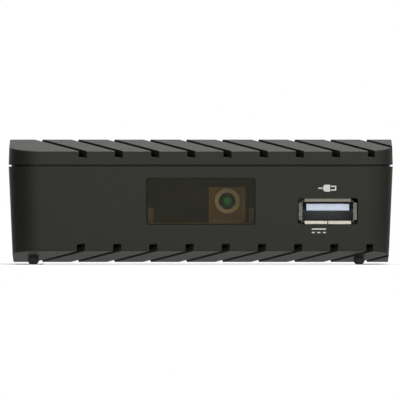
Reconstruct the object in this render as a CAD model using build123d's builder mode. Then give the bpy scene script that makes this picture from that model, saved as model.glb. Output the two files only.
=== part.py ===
from build123d import *
import os
from math import cos, radians, sin, tan

# A small set-top box that receives digital television, as the separate pieces it comes apart into.
# Millimetres. +X is right seen from the front, +Y runs from front to rear, +Z is up.
# The origin is on the table, under the middle of the box that holds the whole object.

os.makedirs("parts", exist_ok=True)

# Case
CASE_WIDTH = 94.6
CASE_DEPTH = 66.0
CASE_HEIGHT = 30.3
SEAM_HEIGHT = 23.83
FOOT_DROP = 0.56
CORNER_RADIUS = 7.8
COVER_DRAFT = 1.8
TUB_DRAFT = 2.5
WALL = 1.8
DECK_SKIN = 1.6
BAND_SKIN = 1.3
EDGE_ROUND = 0.3
OVERCUT = 1.0
FIT_GAP = 0.03

# Sloping bands at the front of the cover and the tub, each ending in a crest and a step
CREST_SETBACK = 20.2
TOP_BAND_RISE = 2.92
BOTTOM_BAND_RISE = 2.77
DECK_STEP = 1.0
STEP_RUN = 0.5

# Diagonal vent slots
VENT_COUNT = 10
VENT_PITCH = 8.9
VENT_WIDTH = 1.74
VENT_ANGLE = 28.75
VENT_TAIL = 6.0
TOP_NOTCH = 1.69
BOTTOM_NOTCH = 1.84

# Seam: a shadow gap outside, a lip of the tub inside the skirt of the cover
SEAM_GAP = 0.46
SKIRT = 0.6
LIP_GAP = 0.1
LIP_HEIGHT = 1.7

# Front catches that hold the cover down, between these pairs of slots
CATCH_BAYS = (0, 6)
CATCH_WIDTH = 5.4
CATCH_THICK = 1.4
CATCH_DROP = 5.0
CATCH_HOOK = 0.7
CATCH_HOOK_HEIGHT = 1.0
CATCH_GAP = 0.15

# Rear panel
PANEL_THICK = 1.6
PANEL_SETBACK = 1.0
PANEL_GRIP = 0.8
PANEL_GAP = 0.1
PORT_GAP = 0.2

# Front window
WINDOW_WIDTH = 26.95
WINDOW_HEIGHT = 11.5
WINDOW_RADIUS = 0.75
WINDOW_Z = 15.56
WINDOW_GAP = 0.18
WINDOW_SUNK = 0.12
WINDOW_FLANGE = 1.2
FLANGE_THICK = 1.0

# Feet, pushed in from below
FOOT_DIAMETER = 2.8
FOOT_CENTRE = 1.2
FOOT_STEM = 1.5
FOOT_HEAD = 2.3
FOOT_HEAD_THICK = 0.7
FOOT_GAP = 0.05
FRONT_FOOT_Y = 10.3
FRONT_FOOT_LEFT_INSET = 6.05
FRONT_FOOT_RIGHT_INSET = 8.3
REAR_FOOT_LEFT_INSET = 5.55
REAR_FOOT_RIGHT_INSET = 7.8
REAR_FOOT_Y = 5.5

# Case screws, from below, near the rear
CASE_SCREW_INSET = 6.3
CASE_SCREW_Y = 13.5
CASE_SCREW_DIAMETER = 2.9
CASE_SCREW_HEAD = 5.0
CASE_SCREW_HEAD_THICK = 1.9
CASE_SCREW_LENGTH = 16.0
CASE_SCREW_SEAT = 7.4
COLUMN_WALL = 1.1
COLUMN_HEIGHT = 17.0
SCREW_GAP = 0.1
DRIVE_SLOT = 0.55
DRIVE_DEPTH = 1.1

# Main board
BOARD_TOP = 10.06
BOARD_THICK = 1.6
BOARD_SIDE_GAP = 2.6
BOARD_FRONT_GAP = 1.3
BOARD_REAR_GAP = 0.3
BOARD_CORNER = 2.5
BOARD_NOTCH_GAP = 0.6
BOARD_SCREW_DIAMETER = 2.2
BOARD_SCREW_HEAD = 4.4
BOARD_SCREW_HEAD_THICK = 1.5
BOARD_SCREW_TIP_GAP = 0.74
BOARD_SCREW_INSET = 8.8
BOARD_SCREW_FRONT_Y = 29.0
BOARD_SCREW_REAR_Y = 44.5
STANDOFF_DIAMETER = 5.0
RIB_BAYS = (1, 5)
RIB_THICK = 1.6
RIB_REACH = 6.0
LEAD_GAP = 0.1
SOLDER_REACH = 1.0

# Lamp holder, lamp, dark baffle and infrared receiver behind the window
HOLDER_Y = 4.6
HOLDER_LEFT = -13.0
HOLDER_RIGHT = 13.2
HOLDER_BASE_DEPTH = 4.0
HOLDER_BASE_THICK = 0.3
HOLDER_TAB_WIDTH = 1.35
HOLDER_TAB_HEIGHT = 3.9
HOLDER_BLOCK_WIDTH = 9.0
HOLDER_BLOCK_HEIGHT = 9.06
HOLDER_PLINTH = 1.1
HOLDER_CHEEK = 1.0
HOLDER_RIM = 0.6
LAMP_X = 6.5
LAMP_Z = 15.64
LAMP_DIAMETER = 2.9
LAMP_FLANGE = 3.6
LAMP_FLANGE_THICK = 0.9
LAMP_LENGTH = 4.4
LAMP_SEAT = 1.0
LAMP_FLAT = 0.2
COLLAR_OUTER = 6.2
COLLAR_BORE = 4.1
COLLAR_REACH = 0.8
COLLAR_SPIGOT = 5.0
COLLAR_SPIGOT_LENGTH = 3.0
COLLAR_ROUND = 0.1
COLLAR_LAND = 0.2
COLLAR_DISH = 0.3
LEAD_SIZE = 0.5
LEAD_PITCH = 2.54
LEAD_SETBACK = 1.2
RECEIVER_X = -4.5
RECEIVER_Y = 15.0
RECEIVER_WIDTH = 6.0
RECEIVER_HEIGHT = 7.0
RECEIVER_DEPTH = 2.7
RECEIVER_DOME = 4.6
RECEIVER_DOME_SUNK = 0.7
RECEIVER_LIFT = 0.8
BAFFLE_Y = 12.2
BAFFLE_THICK = 0.8
BAFFLE_HALF_WIDTH = 15.5
BAFFLE_HEIGHT = 12.4

# Flat rectangular data socket in the front
DATA_X = 31.24
DATA_Z = 13.12
DATA_OPENING_WIDTH = 12.5
DATA_OPENING_HEIGHT = 4.7
DATA_SHEET = 0.3
DATA_FOLD = 0.5
DATA_LENGTH = 14.0
DATA_SUNK = 0.35
DATA_LIP_RUN = 0.36
DATA_LIP_SIDE_RISE = 0.88
DATA_LIP_TOP_RISE = 0.77
DATA_LIP_TOP_LENGTH = 11.4
DATA_LIP_SIDE_LENGTH = 4.2
DATA_PORT_SIDE_MARGIN = 0.25
DATA_PORT_TOP_MARGIN = 0.12
DATA_PORT_RADIUS = 0.6
DATA_TONGUE_WIDTH = 10.5
DATA_TONGUE_THICK = 1.7
DATA_TONGUE_BEVEL = 0.25
DATA_TONGUE_Z = 0.99
DATA_TONGUE_SUNK = 0.9
DATA_BLOCK_DEPTH = 4.5
DATA_CONTACT_WIDTH = 1.0
DATA_CONTACT_THICK = 0.2
DATA_CONTACT_LENGTH = 7.2
DATA_CONTACT_X = (-3.5, -1.0, 1.0, 3.5)
DATA_HEEL = 1.2
DATA_TAB_WIDTH = 2.4
DATA_TAB_Y = 7.5
DATA_FINGER_START = 1.5
DATA_FINGER_WIDTH = 1.8
DATA_FINGER_LENGTH = 6.0
DATA_FINGER_SLIT = 0.5
DATA_FINGER_SPREAD = 6.6
DATA_SEAM_SLIT = 0.25
DATA_NOTCH = 2.2

# Tuner module at the rear right
CAN_WIDTH = 31.0
CAN_DEPTH = 25.0
CAN_HEIGHT = 12.6
CAN_SHEET = 0.4
CAN_SIDE_GAP = 11.6
CAN_LID_SKIRT = 3.0
CAN_LID_GAP = 0.05
CAN_HOLE = 5.4
CAN_TAB_WIDTH = 1.5
CAN_TAB_INSET = 5.0
TUNER_CHIP_SIZE = 6.0
TUNER_CHIP_THICK = 0.9

# Aerial sockets on the tuner module
SOCKET_REACH = 9.5
AERIAL_SPREAD = 16.0
AERIAL_HEIGHT = 6.5
AERIAL_FLANGE = 12.0
AERIAL_FLANGE_THICK = 1.0
INPUT_OUTER = 11.0
INPUT_BORE = 9.6
OUTPUT_OUTER = 9.52
OUTPUT_BORE = 8.2
OUTPUT_SHOULDER = 11.0
OUTPUT_SHOULDER_PROUD = 0.6
INSULATOR_THICK = 3.0
INPUT_CORE_OUTER = 5.0
INPUT_CONTACT_OUTER = 3.4
INPUT_CONTACT_BORE = 2.44
INPUT_CONTACT_SUNK = 1.5
INPUT_CONTACT_SLIT = 0.4
INPUT_CONTACT_SLIT_DEPTH = 4.0
OUTPUT_PIN = 2.38
OUTPUT_PIN_SUNK = 0.6
CONTACT_TAIL = 3.0
CONTACT_TAIL_DIAMETER = 1.2

# High-definition video socket
VIDEO_X = -5.0
VIDEO_WIDTH = 15.0
VIDEO_HEIGHT = 5.6
VIDEO_SHEET = 0.35
VIDEO_FOLD = 0.6
VIDEO_LENGTH = 12.0
VIDEO_CHAMFER_X = 1.7
VIDEO_CHAMFER_Z = 2.0
VIDEO_LIFT = 0.1
VIDEO_PROUD = 0.4
VIDEO_BLOCK_DEPTH = 4.0
VIDEO_TONGUE_WIDTH = 11.2
VIDEO_TONGUE_THICK = 1.2
VIDEO_TONGUE_SUNK = 1.5
VIDEO_TONGUE_Z = 0.3
VIDEO_HEEL = 1.0
VIDEO_TAB_WIDTH = 1.2
VIDEO_TAB_Y = (2.0, 8.0)
VIDEO_CONTACT_WIDTH = 0.45
VIDEO_CONTACT_THICK = 0.15
VIDEO_CONTACT_LENGTH = 5.0
VIDEO_CONTACT_PITCH = 1.0
VIDEO_TOP_CONTACTS = 10
VIDEO_TAIL = 1.0

# Sound and picture jack, for a 3.5 mm plug
JACK_X = -18.2
JACK_WIDTH = 6.8
JACK_HEIGHT = 5.8
JACK_LENGTH = 12.0
JACK_BORE = 4.2
JACK_BUSHING_OUTER = 5.4
JACK_BUSHING_BORE = 3.6
JACK_BUSHING_REACH = 3.4
JACK_BUSHING_SEAT = 1.5
JACK_END_WALL = 1.4
JACK_TERMINAL_Y = (3.5, 9.0)
JACK_SPRING_LENGTH = 8.2
JACK_SPRING_Z = 2.5
JACK_SPRING_DIP = 0.95

# Power jack, for a 5.5 mm barrel
POWER_INSET = 16.3
POWER_WIDTH = 9.0
POWER_HEIGHT = 10.6
POWER_LENGTH = 13.5
POWER_AXIS = 6.3
POWER_BORE = 6.2
POWER_BORE_DEPTH = 9.6
POWER_MOUTH = 7.2
POWER_PIN = 2.0
POWER_PIN_SUNK = 0.8
POWER_PIN_TAIL = 1.6
POWER_SPRING_LENGTH = 8.0
POWER_SPRING_Z = -3.8
POWER_SPRING_RISE = 1.0

# Contact leaves and terminals of both jacks
SPRING_THICK = 0.25
SPRING_WIDTH = 1.5
SPRING_SIDE_GAP = 0.3
SPRING_END_GAP = 0.6
SPRING_ROOT = 1.0
SPRING_INSET = 0.3
SPRING_BUMP = 0.8
SPRING_CURL = 0.55
SPRING_REST = 0.05
TERMINAL_WIDTH = 1.6
TERMINAL_THICK = 0.4

# Chips and other board parts
CHIP_X = -14.0
CHIP_Y = 33.0
CHIP_SIZE = 14.0
CHIP_THICK = 1.3
PAD_SIZE = 13.0
PAD_THICK = 0.5
SINK_SIZE = 19.0
SINK_BASE = 1.6
SINK_HEIGHT = 7.0
SINK_FIN = 1.0
SINK_FINS = 7
MEMORY_X = -14.0
MEMORY_Y = 18.0
MEMORY_WIDTH = 12.0
MEMORY_DEPTH = 8.0
MEMORY_THICK = 1.1
FLASH_X = -30.0
FLASH_Y = 24.0
FLASH_SIZE = 5.2
FLASH_THICK = 1.7
FLASH_LEADS = 4
FLASH_LEAD_PITCH = 1.27
FLASH_LEAD_WIDTH = 0.42
FLASH_LEAD_REACH = 1.3
FLASH_LEAD_THICK = 0.25
CRYSTAL_X = 3.0
CRYSTAL_Y = 27.0
CRYSTAL_LENGTH = 10.8
CRYSTAL_WIDTH = 4.4
CRYSTAL_HEIGHT = 3.4
CRYSTAL_ROUND = 2.0
CAPACITOR_DIAMETER = 6.3
CAPACITOR_HEIGHT = 11.0
CAPACITOR_BEAD = 0.35
CAPACITOR_BEAD_HEIGHT = 1.6
CAPACITOR_PLACES = ((-32.5, 36.5), (-24.0, 46.5), (20.0, 24.5))
INDUCTOR_SIZE = 6.0
INDUCTOR_HEIGHT = 3.0
INDUCTOR_ROUND = 0.8
INDUCTOR_PLACES = ((-33.0, 16.0), (30.0, 24.5))
REGULATOR_X = -24.0
REGULATOR_Y = 13.5
REGULATOR_WIDTH = 6.5
REGULATOR_DEPTH = 3.5
REGULATOR_THICK = 1.6
REGULATOR_TAB = 3.0
REGULATOR_TAB_REACH = 1.7
REGULATOR_LEG = 0.7
REGULATOR_LEG_PITCH = 2.3
RESISTOR_LENGTH = 1.6
RESISTOR_WIDTH = 0.8
RESISTOR_THICK = 0.5
RESISTOR_PITCH = 2.4
RESISTOR_COLUMNS = 5
RESISTOR_ROWS = 3
RESISTOR_X = 8.0
RESISTOR_Y = 16.0

# Places worked out from the sizes above
y_front = -(CASE_DEPTH + SOCKET_REACH) / 2
y_rear = y_front + CASE_DEPTH
y_crest = y_front + CREST_SETBACK
bottom_crest = FOOT_DROP
top_crest = FOOT_DROP + CASE_HEIGHT
seam = FOOT_DROP + SEAM_HEIGHT
top_edge = top_crest - TOP_BAND_RISE
bottom_edge = bottom_crest + BOTTOM_BAND_RISE
top_deck = top_crest - DECK_STEP
bottom_deck = bottom_crest + DECK_STEP
ceiling = top_deck - DECK_SKIN
floor = bottom_deck + DECK_SKIN
cover_rim = seam + SEAM_GAP / 2
tub_rim = seam - SEAM_GAP / 2
lip_top = tub_rim + LIP_HEIGHT
cover_lean = tan(radians(COVER_DRAFT))
tub_lean = tan(radians(TUB_DRAFT))
y_inner_step = y_crest - BAND_SKIN
y_vent_end = y_crest + VENT_TAIL
panel_outer = y_rear - PANEL_SETBACK
panel_inner = panel_outer - PANEL_THICK
board_bottom = BOARD_TOP - BOARD_THICK


def cover_inset(z):
    """How far the cover's outside has drawn in at a height."""
    return (z - cover_rim) * cover_lean


def tub_inset(z):
    """How far the tub's outside has drawn in at a height."""
    return (tub_rim - z) * tub_lean


y_top_edge = y_front + cover_inset(top_edge)
y_bottom_edge = y_front + tub_inset(bottom_edge)
top_slope = TOP_BAND_RISE / (y_crest - y_top_edge)
bottom_slope = BOTTOM_BAND_RISE / (y_crest - y_bottom_edge)


def top_band(y):
    """Height of the cover's sloping band."""
    return top_crest - (y_crest - y) * top_slope


def bottom_band(y):
    """Height of the tub's sloping band."""
    return bottom_crest + (y_crest - y) * bottom_slope


def front_view(y):
    """Plane across the case at a depth, drawn as seen from the front."""
    return Plane.XZ.offset(-y)


def save(part, name):
    """Label a finished piece and write its file."""
    part.label = name
    export_step(part, f"parts/{name}.step")


def case_plan(z, inset=0.0, rear=y_rear):
    """Plan outline of the case at a height, drawn in by inset at the front and the sides."""
    front = y_front + inset
    with BuildSketch(Plane.XY.offset(z)) as plan:
        with Locations((0, (front + rear) / 2)):
            Rectangle(CASE_WIDTH - 2 * inset, rear - front)
        fillet(plan.vertices().group_by(Axis.Y)[0], CORNER_RADIUS - inset)
    return plan.sketch


def side_prism(points):
    """Solid as wide as the case inside a side outline of depth and height points."""
    with BuildPart() as prism:
        with BuildSketch(Plane.YZ):
            with BuildLine():
                Polyline(*points, close=True)
            make_face()
        extrude(amount=CASE_WIDTH, both=True)
    return prism.part


def vent_cutter(points):
    """Row of diagonal slots, kept inside a side outline."""
    reach = CREST_SETBACK + OVERCUT
    length = (reach + VENT_TAIL) / cos(radians(VENT_ANGLE)) - VENT_WIDTH / 2
    middle_y = y_vent_end - VENT_WIDTH / 2 - length / 2 * cos(radians(VENT_ANGLE))
    middle_x = (y_crest - middle_y) * tan(radians(VENT_ANGLE))
    with BuildPart() as slots:
        with BuildSketch(Plane.XY.offset(-OVERCUT)):
            with Locations((middle_x, middle_y)):
                with GridLocations(VENT_PITCH, 1, VENT_COUNT, 1):
                    SlotCenterToCenter(length, VENT_WIDTH, rotation=90 + VENT_ANGLE)
        extrude(amount=top_crest + 2 * OVERCUT)
        add(side_prism(points), mode=Mode.INTERSECT)
    return slots.part


def panel_outline(margin):
    """Corners of the case's inside at the rear, grown by margin, as width and height points."""
    low = floor - margin
    high = ceiling + margin
    inside = CASE_WIDTH / 2 - WALL + margin
    corners = ((inside - tub_inset(low), low), (inside, tub_rim), (inside, cover_rim))
    corners += ((inside - cover_inset(high), high),)
    return corners + tuple((-x, z) for x, z in reversed(corners))


def panel_slab(margin, inner, outer):
    """Plate with the rear panel's outline between two depths."""
    with BuildPart() as slab:
        with BuildSketch(front_view(outer)):
            with BuildLine():
                Polyline(*panel_outline(margin), close=True)
            make_face()
        extrude(amount=outer - inner)
    return slab.part


def vent_x(index, y):
    """Middle of a vent slot at a depth."""
    at_crest = (index - (VENT_COUNT - 1) / 2) * VENT_PITCH
    return at_crest + (y_crest - y) * tan(radians(VENT_ANGLE))


def bay_x(index, y):
    """Middle of the strip between a vent slot and the next one."""
    return vent_x(index, y) + VENT_PITCH / 2


def block(low, high, mode=Mode.ADD):
    """Plain block between two opposite corners, added to or cut from the piece being built."""
    size = Vector(*high) - Vector(*low)
    with Locations((Vector(*low) + Vector(*high)) / 2):
        Box(*size, mode=mode)


def rod(plane, radius, length, mode=Mode.ADD):
    """Round rod from a plane along its normal, added to or cut from the piece being built."""
    with Locations(plane):
        Cylinder(radius, length, align=(Align.CENTER, Align.CENTER, Align.MIN), mode=mode)


def upward(x, y, z):
    """Plane at a point with its normal up."""
    return Plane((x, y, z))


def rearward(x, y, z):
    """Plane at a point with its normal to the rear."""
    return Plane((x, y, z), x_dir=(1, 0, 0), z_dir=(0, 1, 0))


def forward(x, y, z):
    """Plane at a point with its normal to the front."""
    return Plane((x, y, z), x_dir=(1, 0, 0), z_dir=(0, -1, 0))


# Case shells: outlines and places that both share
y_before = y_front - OVERCUT
y_behind = y_rear + OVERCUT
above = top_crest + OVERCUT
below = -OVERCUT
panel_groove = panel_slab(PANEL_GRIP + PANEL_GAP, panel_inner - PANEL_GAP, panel_outer + PANEL_GAP)
screw_y = y_rear - CASE_SCREW_Y
screw_places = [(side * (CASE_WIDTH / 2 - CASE_SCREW_INSET), screw_y) for side in (-1, 1)]
screw_seat = bottom_deck + CASE_SCREW_SEAT
screw_tip = screw_seat + CASE_SCREW_LENGTH
column_top = floor + COLUMN_HEIGHT
column_radius = CASE_SCREW_HEAD / 2 + SCREW_GAP + COLUMN_WALL
catch_low = tub_rim - CATCH_DROP
catch_y = y_front + WALL + tub_inset(catch_low) + CATCH_GAP
hook_y = catch_y - CATCH_GAP - CATCH_HOOK
catch_high = top_band(catch_y) - BAND_SKIN / 2
foot_places = {
    "foot_front_left": (FRONT_FOOT_LEFT_INSET - CASE_WIDTH / 2, y_front + FRONT_FOOT_Y),
    "foot_front_right": (CASE_WIDTH / 2 - FRONT_FOOT_RIGHT_INSET, y_front + FRONT_FOOT_Y),
    "foot_rear_left": (REAR_FOOT_LEFT_INSET - CASE_WIDTH / 2, y_rear - REAR_FOOT_Y),
    "foot_rear_right": (CASE_WIDTH / 2 - REAR_FOOT_RIGHT_INSET, y_rear - REAR_FOOT_Y),
}

# Main board places
board_front = y_front + WALL + tub_inset(board_bottom) + BOARD_FRONT_GAP
board_rear = panel_inner - BOARD_REAR_GAP
board_half = CASE_WIDTH / 2 - WALL - tub_inset(board_bottom) - BOARD_SIDE_GAP
board_screw_length = BOARD_TOP - floor - BOARD_SCREW_TIP_GAP
board_screw_x = CASE_WIDTH / 2 - BOARD_SCREW_INSET
board_screw_places = [
    (side * board_screw_x, y_front + y) for side in (-1, 1) for y in (BOARD_SCREW_FRONT_Y, BOARD_SCREW_REAR_Y)
]
lead_end = board_bottom - SOLDER_REACH

# Lamp and receiver places
holder_front = y_front + HOLDER_Y
collar_front = holder_front - COLLAR_REACH
lamp_rear = collar_front + LAMP_SEAT + LAMP_LENGTH
lamp_lead_x = (LAMP_X - LEAD_PITCH / 2, LAMP_X + LEAD_PITCH / 2)
lamp_lead_y = lamp_rear + LEAD_SETBACK
receiver_front = y_front + RECEIVER_Y
receiver_middle = receiver_front + RECEIVER_DEPTH / 2
receiver_lead_x = (RECEIVER_X - LEAD_PITCH, RECEIVER_X, RECEIVER_X + LEAD_PITCH)

# Socket places
data_mouth = y_front + tub_inset(DATA_Z) + DATA_SUNK
data_tube = data_mouth + DATA_LIP_RUN
data_end = data_mouth + DATA_LENGTH
data_heel = data_end + DATA_HEEL
data_pin_x = [DATA_X + x for x in DATA_CONTACT_X]
data_pin_y = data_heel + LEAD_SIZE / 2
data_tab_y = data_mouth + DATA_TAB_Y
data_half_width = DATA_OPENING_WIDTH / 2 + DATA_SHEET
data_half_height = DATA_OPENING_HEIGHT / 2 + DATA_SHEET
data_flare_width = DATA_OPENING_WIDTH / 2 + DATA_LIP_SIDE_RISE
data_flare_height = DATA_OPENING_HEIGHT / 2 + DATA_LIP_TOP_RISE
data_tab_x = [DATA_X + side * (data_half_width - DATA_SHEET / 2) for side in (-1, 1)]
tongue_low = DATA_Z + DATA_TONGUE_Z - DATA_TONGUE_THICK / 2
data_contact_top = tongue_low + DATA_CONTACT_THICK
data_contact_y = data_end - DATA_BLOCK_DEPTH - DATA_CONTACT_LENGTH
can_rear = panel_inner - PORT_GAP - AERIAL_FLANGE_THICK
can_front = can_rear - CAN_DEPTH
can_right = CASE_WIDTH / 2 - CAN_SIDE_GAP
can_left = can_right - CAN_WIDTH
can_top = BOARD_TOP + CAN_HEIGHT
can_tab_x = (can_left + CAN_SHEET / 2, can_right - CAN_SHEET / 2)
can_tab_y = (can_front + CAN_TAB_INSET, can_rear - CAN_TAB_INSET)
aerial_z = BOARD_TOP + AERIAL_HEIGHT
aerial_middle = (can_left + can_right) / 2
input_x = aerial_middle + AERIAL_SPREAD / 2
output_x = aerial_middle - AERIAL_SPREAD / 2
aerial_mouth = y_rear + SOCKET_REACH
video_z = BOARD_TOP + VIDEO_LIFT + VIDEO_HEIGHT / 2
video_mouth = panel_outer + VIDEO_PROUD
video_front = video_mouth - VIDEO_LENGTH
video_heel = video_front - VIDEO_HEEL
video_block = video_front + VIDEO_BLOCK_DEPTH
video_tongue_low = video_z + VIDEO_TONGUE_Z - VIDEO_TONGUE_THICK / 2
video_tongue_high = video_tongue_low + VIDEO_TONGUE_THICK
video_tab_x = [VIDEO_X + side * (VIDEO_WIDTH - VIDEO_SHEET) / 2 for side in (-1, 1)]
video_tab_y = [video_front + y for y in VIDEO_TAB_Y]
jack_z = BOARD_TOP + JACK_HEIGHT / 2
jack_rear = panel_inner - PORT_GAP
jack_front = jack_rear - JACK_LENGTH
jack_leaf = jack_front + SPRING_INSET
jack_leaf_z = jack_z + JACK_SPRING_Z
jack_terminal_x = [JACK_X + side * (JACK_WIDTH + TERMINAL_THICK) / 2 for side in (-1, 1)]
jack_terminal_y = [jack_front + y for y in JACK_TERMINAL_Y]
power_x = POWER_INSET - CASE_WIDTH / 2
power_z = BOARD_TOP + POWER_AXIS
power_rear = panel_inner - PORT_GAP
power_front = power_rear - POWER_LENGTH
power_leaf = power_front + SPRING_INSET
power_leaf_z = power_z + POWER_SPRING_Z
power_terminal_y = (power_front - TERMINAL_THICK / 2, power_leaf + TERMINAL_THICK / 2)
spring_slot = SPRING_WIDTH / 2 + SPRING_SIDE_GAP

# Top cover
cover_side = (
    (y_before, cover_rim),
    (y_before, top_band(y_before)),
    (y_crest, top_crest),
    (y_crest + STEP_RUN, top_deck),
    (y_behind, top_deck),
    (y_behind, cover_rim),
)
cover_inside = (
    (y_before, cover_rim - OVERCUT),
    (y_before, top_band(y_before) - BAND_SKIN),
    (y_inner_step, top_band(y_inner_step) - BAND_SKIN),
    (y_inner_step, ceiling),
    (y_behind, ceiling),
    (y_behind, cover_rim - OVERCUT),
)
cover_vents = (
    (y_before, top_band(y_before) - TOP_NOTCH),
    (y_inner_step, top_band(y_inner_step) - TOP_NOTCH),
    (y_inner_step, ceiling - OVERCUT),
    (y_behind, ceiling - OVERCUT),
    (y_behind, above),
    (y_before, above),
)
with BuildPart() as cover_void:
    low = cover_rim - OVERCUT
    narrow = case_plan(above, WALL + cover_inset(above), y_behind)
    loft([case_plan(low, WALL + cover_inset(low), y_behind), narrow], ruled=True)
    add(side_prism(cover_inside), mode=Mode.INTERSECT)

with BuildPart() as top_cover:
    loft([case_plan(cover_rim), case_plan(above, cover_inset(above))], ruled=True)
    add(side_prism(cover_side), mode=Mode.INTERSECT)
    roof = top_cover.faces().filter_by(lambda face: face.normal_at().Z > 0.1)
    fillet(roof.edges().filter_by_position(Axis.Y, y_before, y_rear - OVERCUT), EDGE_ROUND)
    add(cover_void.part, mode=Mode.SUBTRACT)
    extrude(case_plan(cover_rim, SKIRT, y_behind), amount=lip_top - cover_rim, mode=Mode.SUBTRACT)
    add(vent_cutter(cover_vents), mode=Mode.SUBTRACT)
    for x, y in screw_places:
        rod(upward(x, y, column_top), column_radius, ceiling - column_top)
        pilot = screw_tip + SCREW_GAP - column_top
        rod(upward(x, y, column_top), (CASE_SCREW_DIAMETER + SCREW_GAP) / 2, pilot, Mode.SUBTRACT)
    for bay in CATCH_BAYS:
        x = bay_x(bay, catch_y)
        left = x - CATCH_WIDTH / 2
        right = x + CATCH_WIDTH / 2
        block((left, catch_y, catch_low), (right, catch_y + CATCH_THICK, catch_high))
        block((left, hook_y, catch_low), (right, catch_y, catch_low + CATCH_HOOK_HEIGHT))
    add(panel_groove, mode=Mode.SUBTRACT)
save(top_cover.part, "top_cover")

# Bottom tub
tub_side = (
    (y_before, tub_rim),
    (y_before, bottom_band(y_before)),
    (y_crest, bottom_crest),
    (y_crest + STEP_RUN, bottom_deck),
    (y_behind, bottom_deck),
    (y_behind, tub_rim),
)
tub_inside = (
    (y_before, tub_rim + OVERCUT),
    (y_before, bottom_band(y_before) + BAND_SKIN),
    (y_inner_step, bottom_band(y_inner_step) + BAND_SKIN),
    (y_inner_step, floor),
    (y_behind, floor),
    (y_behind, tub_rim + OVERCUT),
)
tub_vents = (
    (y_before, bottom_band(y_before) + BOTTOM_NOTCH),
    (y_inner_step, bottom_band(y_inner_step) + BOTTOM_NOTCH),
    (y_inner_step, floor + OVERCUT),
    (y_behind, floor + OVERCUT),
    (y_behind, below),
    (y_before, below),
)
wall_normal = (0, -cos(radians(TUB_DRAFT)), -sin(radians(TUB_DRAFT)))
window_plane = Plane((0, y_front + tub_inset(WINDOW_Z), WINDOW_Z), x_dir=(1, 0, 0), z_dir=wall_normal)
wall_through = WALL * cos(radians(TUB_DRAFT))
with BuildPart() as tub_void:
    high = tub_rim + OVERCUT
    narrow = case_plan(below, WALL + tub_inset(below), y_behind)
    loft([narrow, case_plan(high, WALL + tub_inset(high), y_behind)], ruled=True)
    add(side_prism(tub_inside), mode=Mode.INTERSECT)

with BuildPart() as bottom_tub:
    loft([case_plan(below, tub_inset(below)), case_plan(tub_rim)], ruled=True)
    add(side_prism(tub_side), mode=Mode.INTERSECT)
    base = bottom_tub.faces().filter_by(lambda face: face.normal_at().Z < -0.1)
    fillet(base.edges().filter_by_position(Axis.Y, y_before, y_rear - OVERCUT), EDGE_ROUND)
    extrude(case_plan(tub_rim, SKIRT + LIP_GAP), amount=LIP_HEIGHT)
    extrude(case_plan(tub_rim, WALL, y_behind), amount=LIP_HEIGHT, mode=Mode.SUBTRACT)
    add(tub_void.part, mode=Mode.SUBTRACT)
    add(vent_cutter(tub_vents), mode=Mode.SUBTRACT)
    for x, y in screw_places:
        rod(upward(x, y, floor - DECK_SKIN / 2), column_radius, column_top - floor + DECK_SKIN / 2)
    for x, y in board_screw_places:
        rod(upward(x, y, floor - DECK_SKIN / 2), STANDOFF_DIAMETER / 2, board_bottom - floor + DECK_SKIN / 2)
    for bay in RIB_BAYS:
        rib_front = y_front + WALL
        rib_rear = rib_front + RIB_REACH
        with BuildSketch(Plane.YZ.offset(bay_x(bay, rib_front + RIB_REACH / 2))):
            with BuildLine():
                Polyline(
                    (rib_front, bottom_band(rib_front) + BAND_SKIN / 2),
                    (rib_rear, bottom_band(rib_rear) + BAND_SKIN / 2),
                    (rib_rear, board_bottom),
                    (rib_front, board_bottom),
                    close=True,
                )
            make_face()
        extrude(amount=RIB_THICK / 2, both=True)
    for x, y in screw_places:
        rod(upward(x, y, below), CASE_SCREW_HEAD / 2 + SCREW_GAP, screw_seat - below, Mode.SUBTRACT)
        rod(upward(x, y, below), CASE_SCREW_DIAMETER / 2 + SCREW_GAP, above, Mode.SUBTRACT)
    for x, y in board_screw_places:
        rod(upward(x, y, floor), (BOARD_SCREW_DIAMETER + SCREW_GAP) / 2, board_bottom, Mode.SUBTRACT)
    for x, y in foot_places.values():
        rod(upward(x, y, below), FOOT_STEM / 2 + FOOT_GAP, board_bottom - below, Mode.SUBTRACT)
    with BuildSketch(window_plane):
        RectangleRounded(WINDOW_WIDTH, WINDOW_HEIGHT, WINDOW_RADIUS)
    extrude(amount=WALL + OVERCUT, both=True, mode=Mode.SUBTRACT)
    with BuildSketch(front_view(y_before)):
        with Locations((DATA_X, DATA_Z)):
            port_width = 2 * (data_flare_width + DATA_PORT_SIDE_MARGIN)
            port_height = 2 * (data_flare_height + DATA_PORT_TOP_MARGIN)
            RectangleRounded(port_width, port_height, DATA_PORT_RADIUS)
    extrude(amount=-(2 * WALL + OVERCUT + tub_inset(DATA_Z)), mode=Mode.SUBTRACT)
    for bay in CATCH_BAYS:
        x = bay_x(bay, catch_y)
        pocket = CATCH_WIDTH / 2 + CATCH_GAP
        pocket_low = catch_low - CATCH_GAP
        pocket_high = catch_low + CATCH_HOOK_HEIGHT + CATCH_GAP
        block((x - pocket, hook_y - CATCH_GAP, pocket_low), (x + pocket, catch_y, pocket_high), Mode.SUBTRACT)
    add(panel_groove, mode=Mode.SUBTRACT)
save(bottom_tub.part, "bottom_tub")

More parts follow.
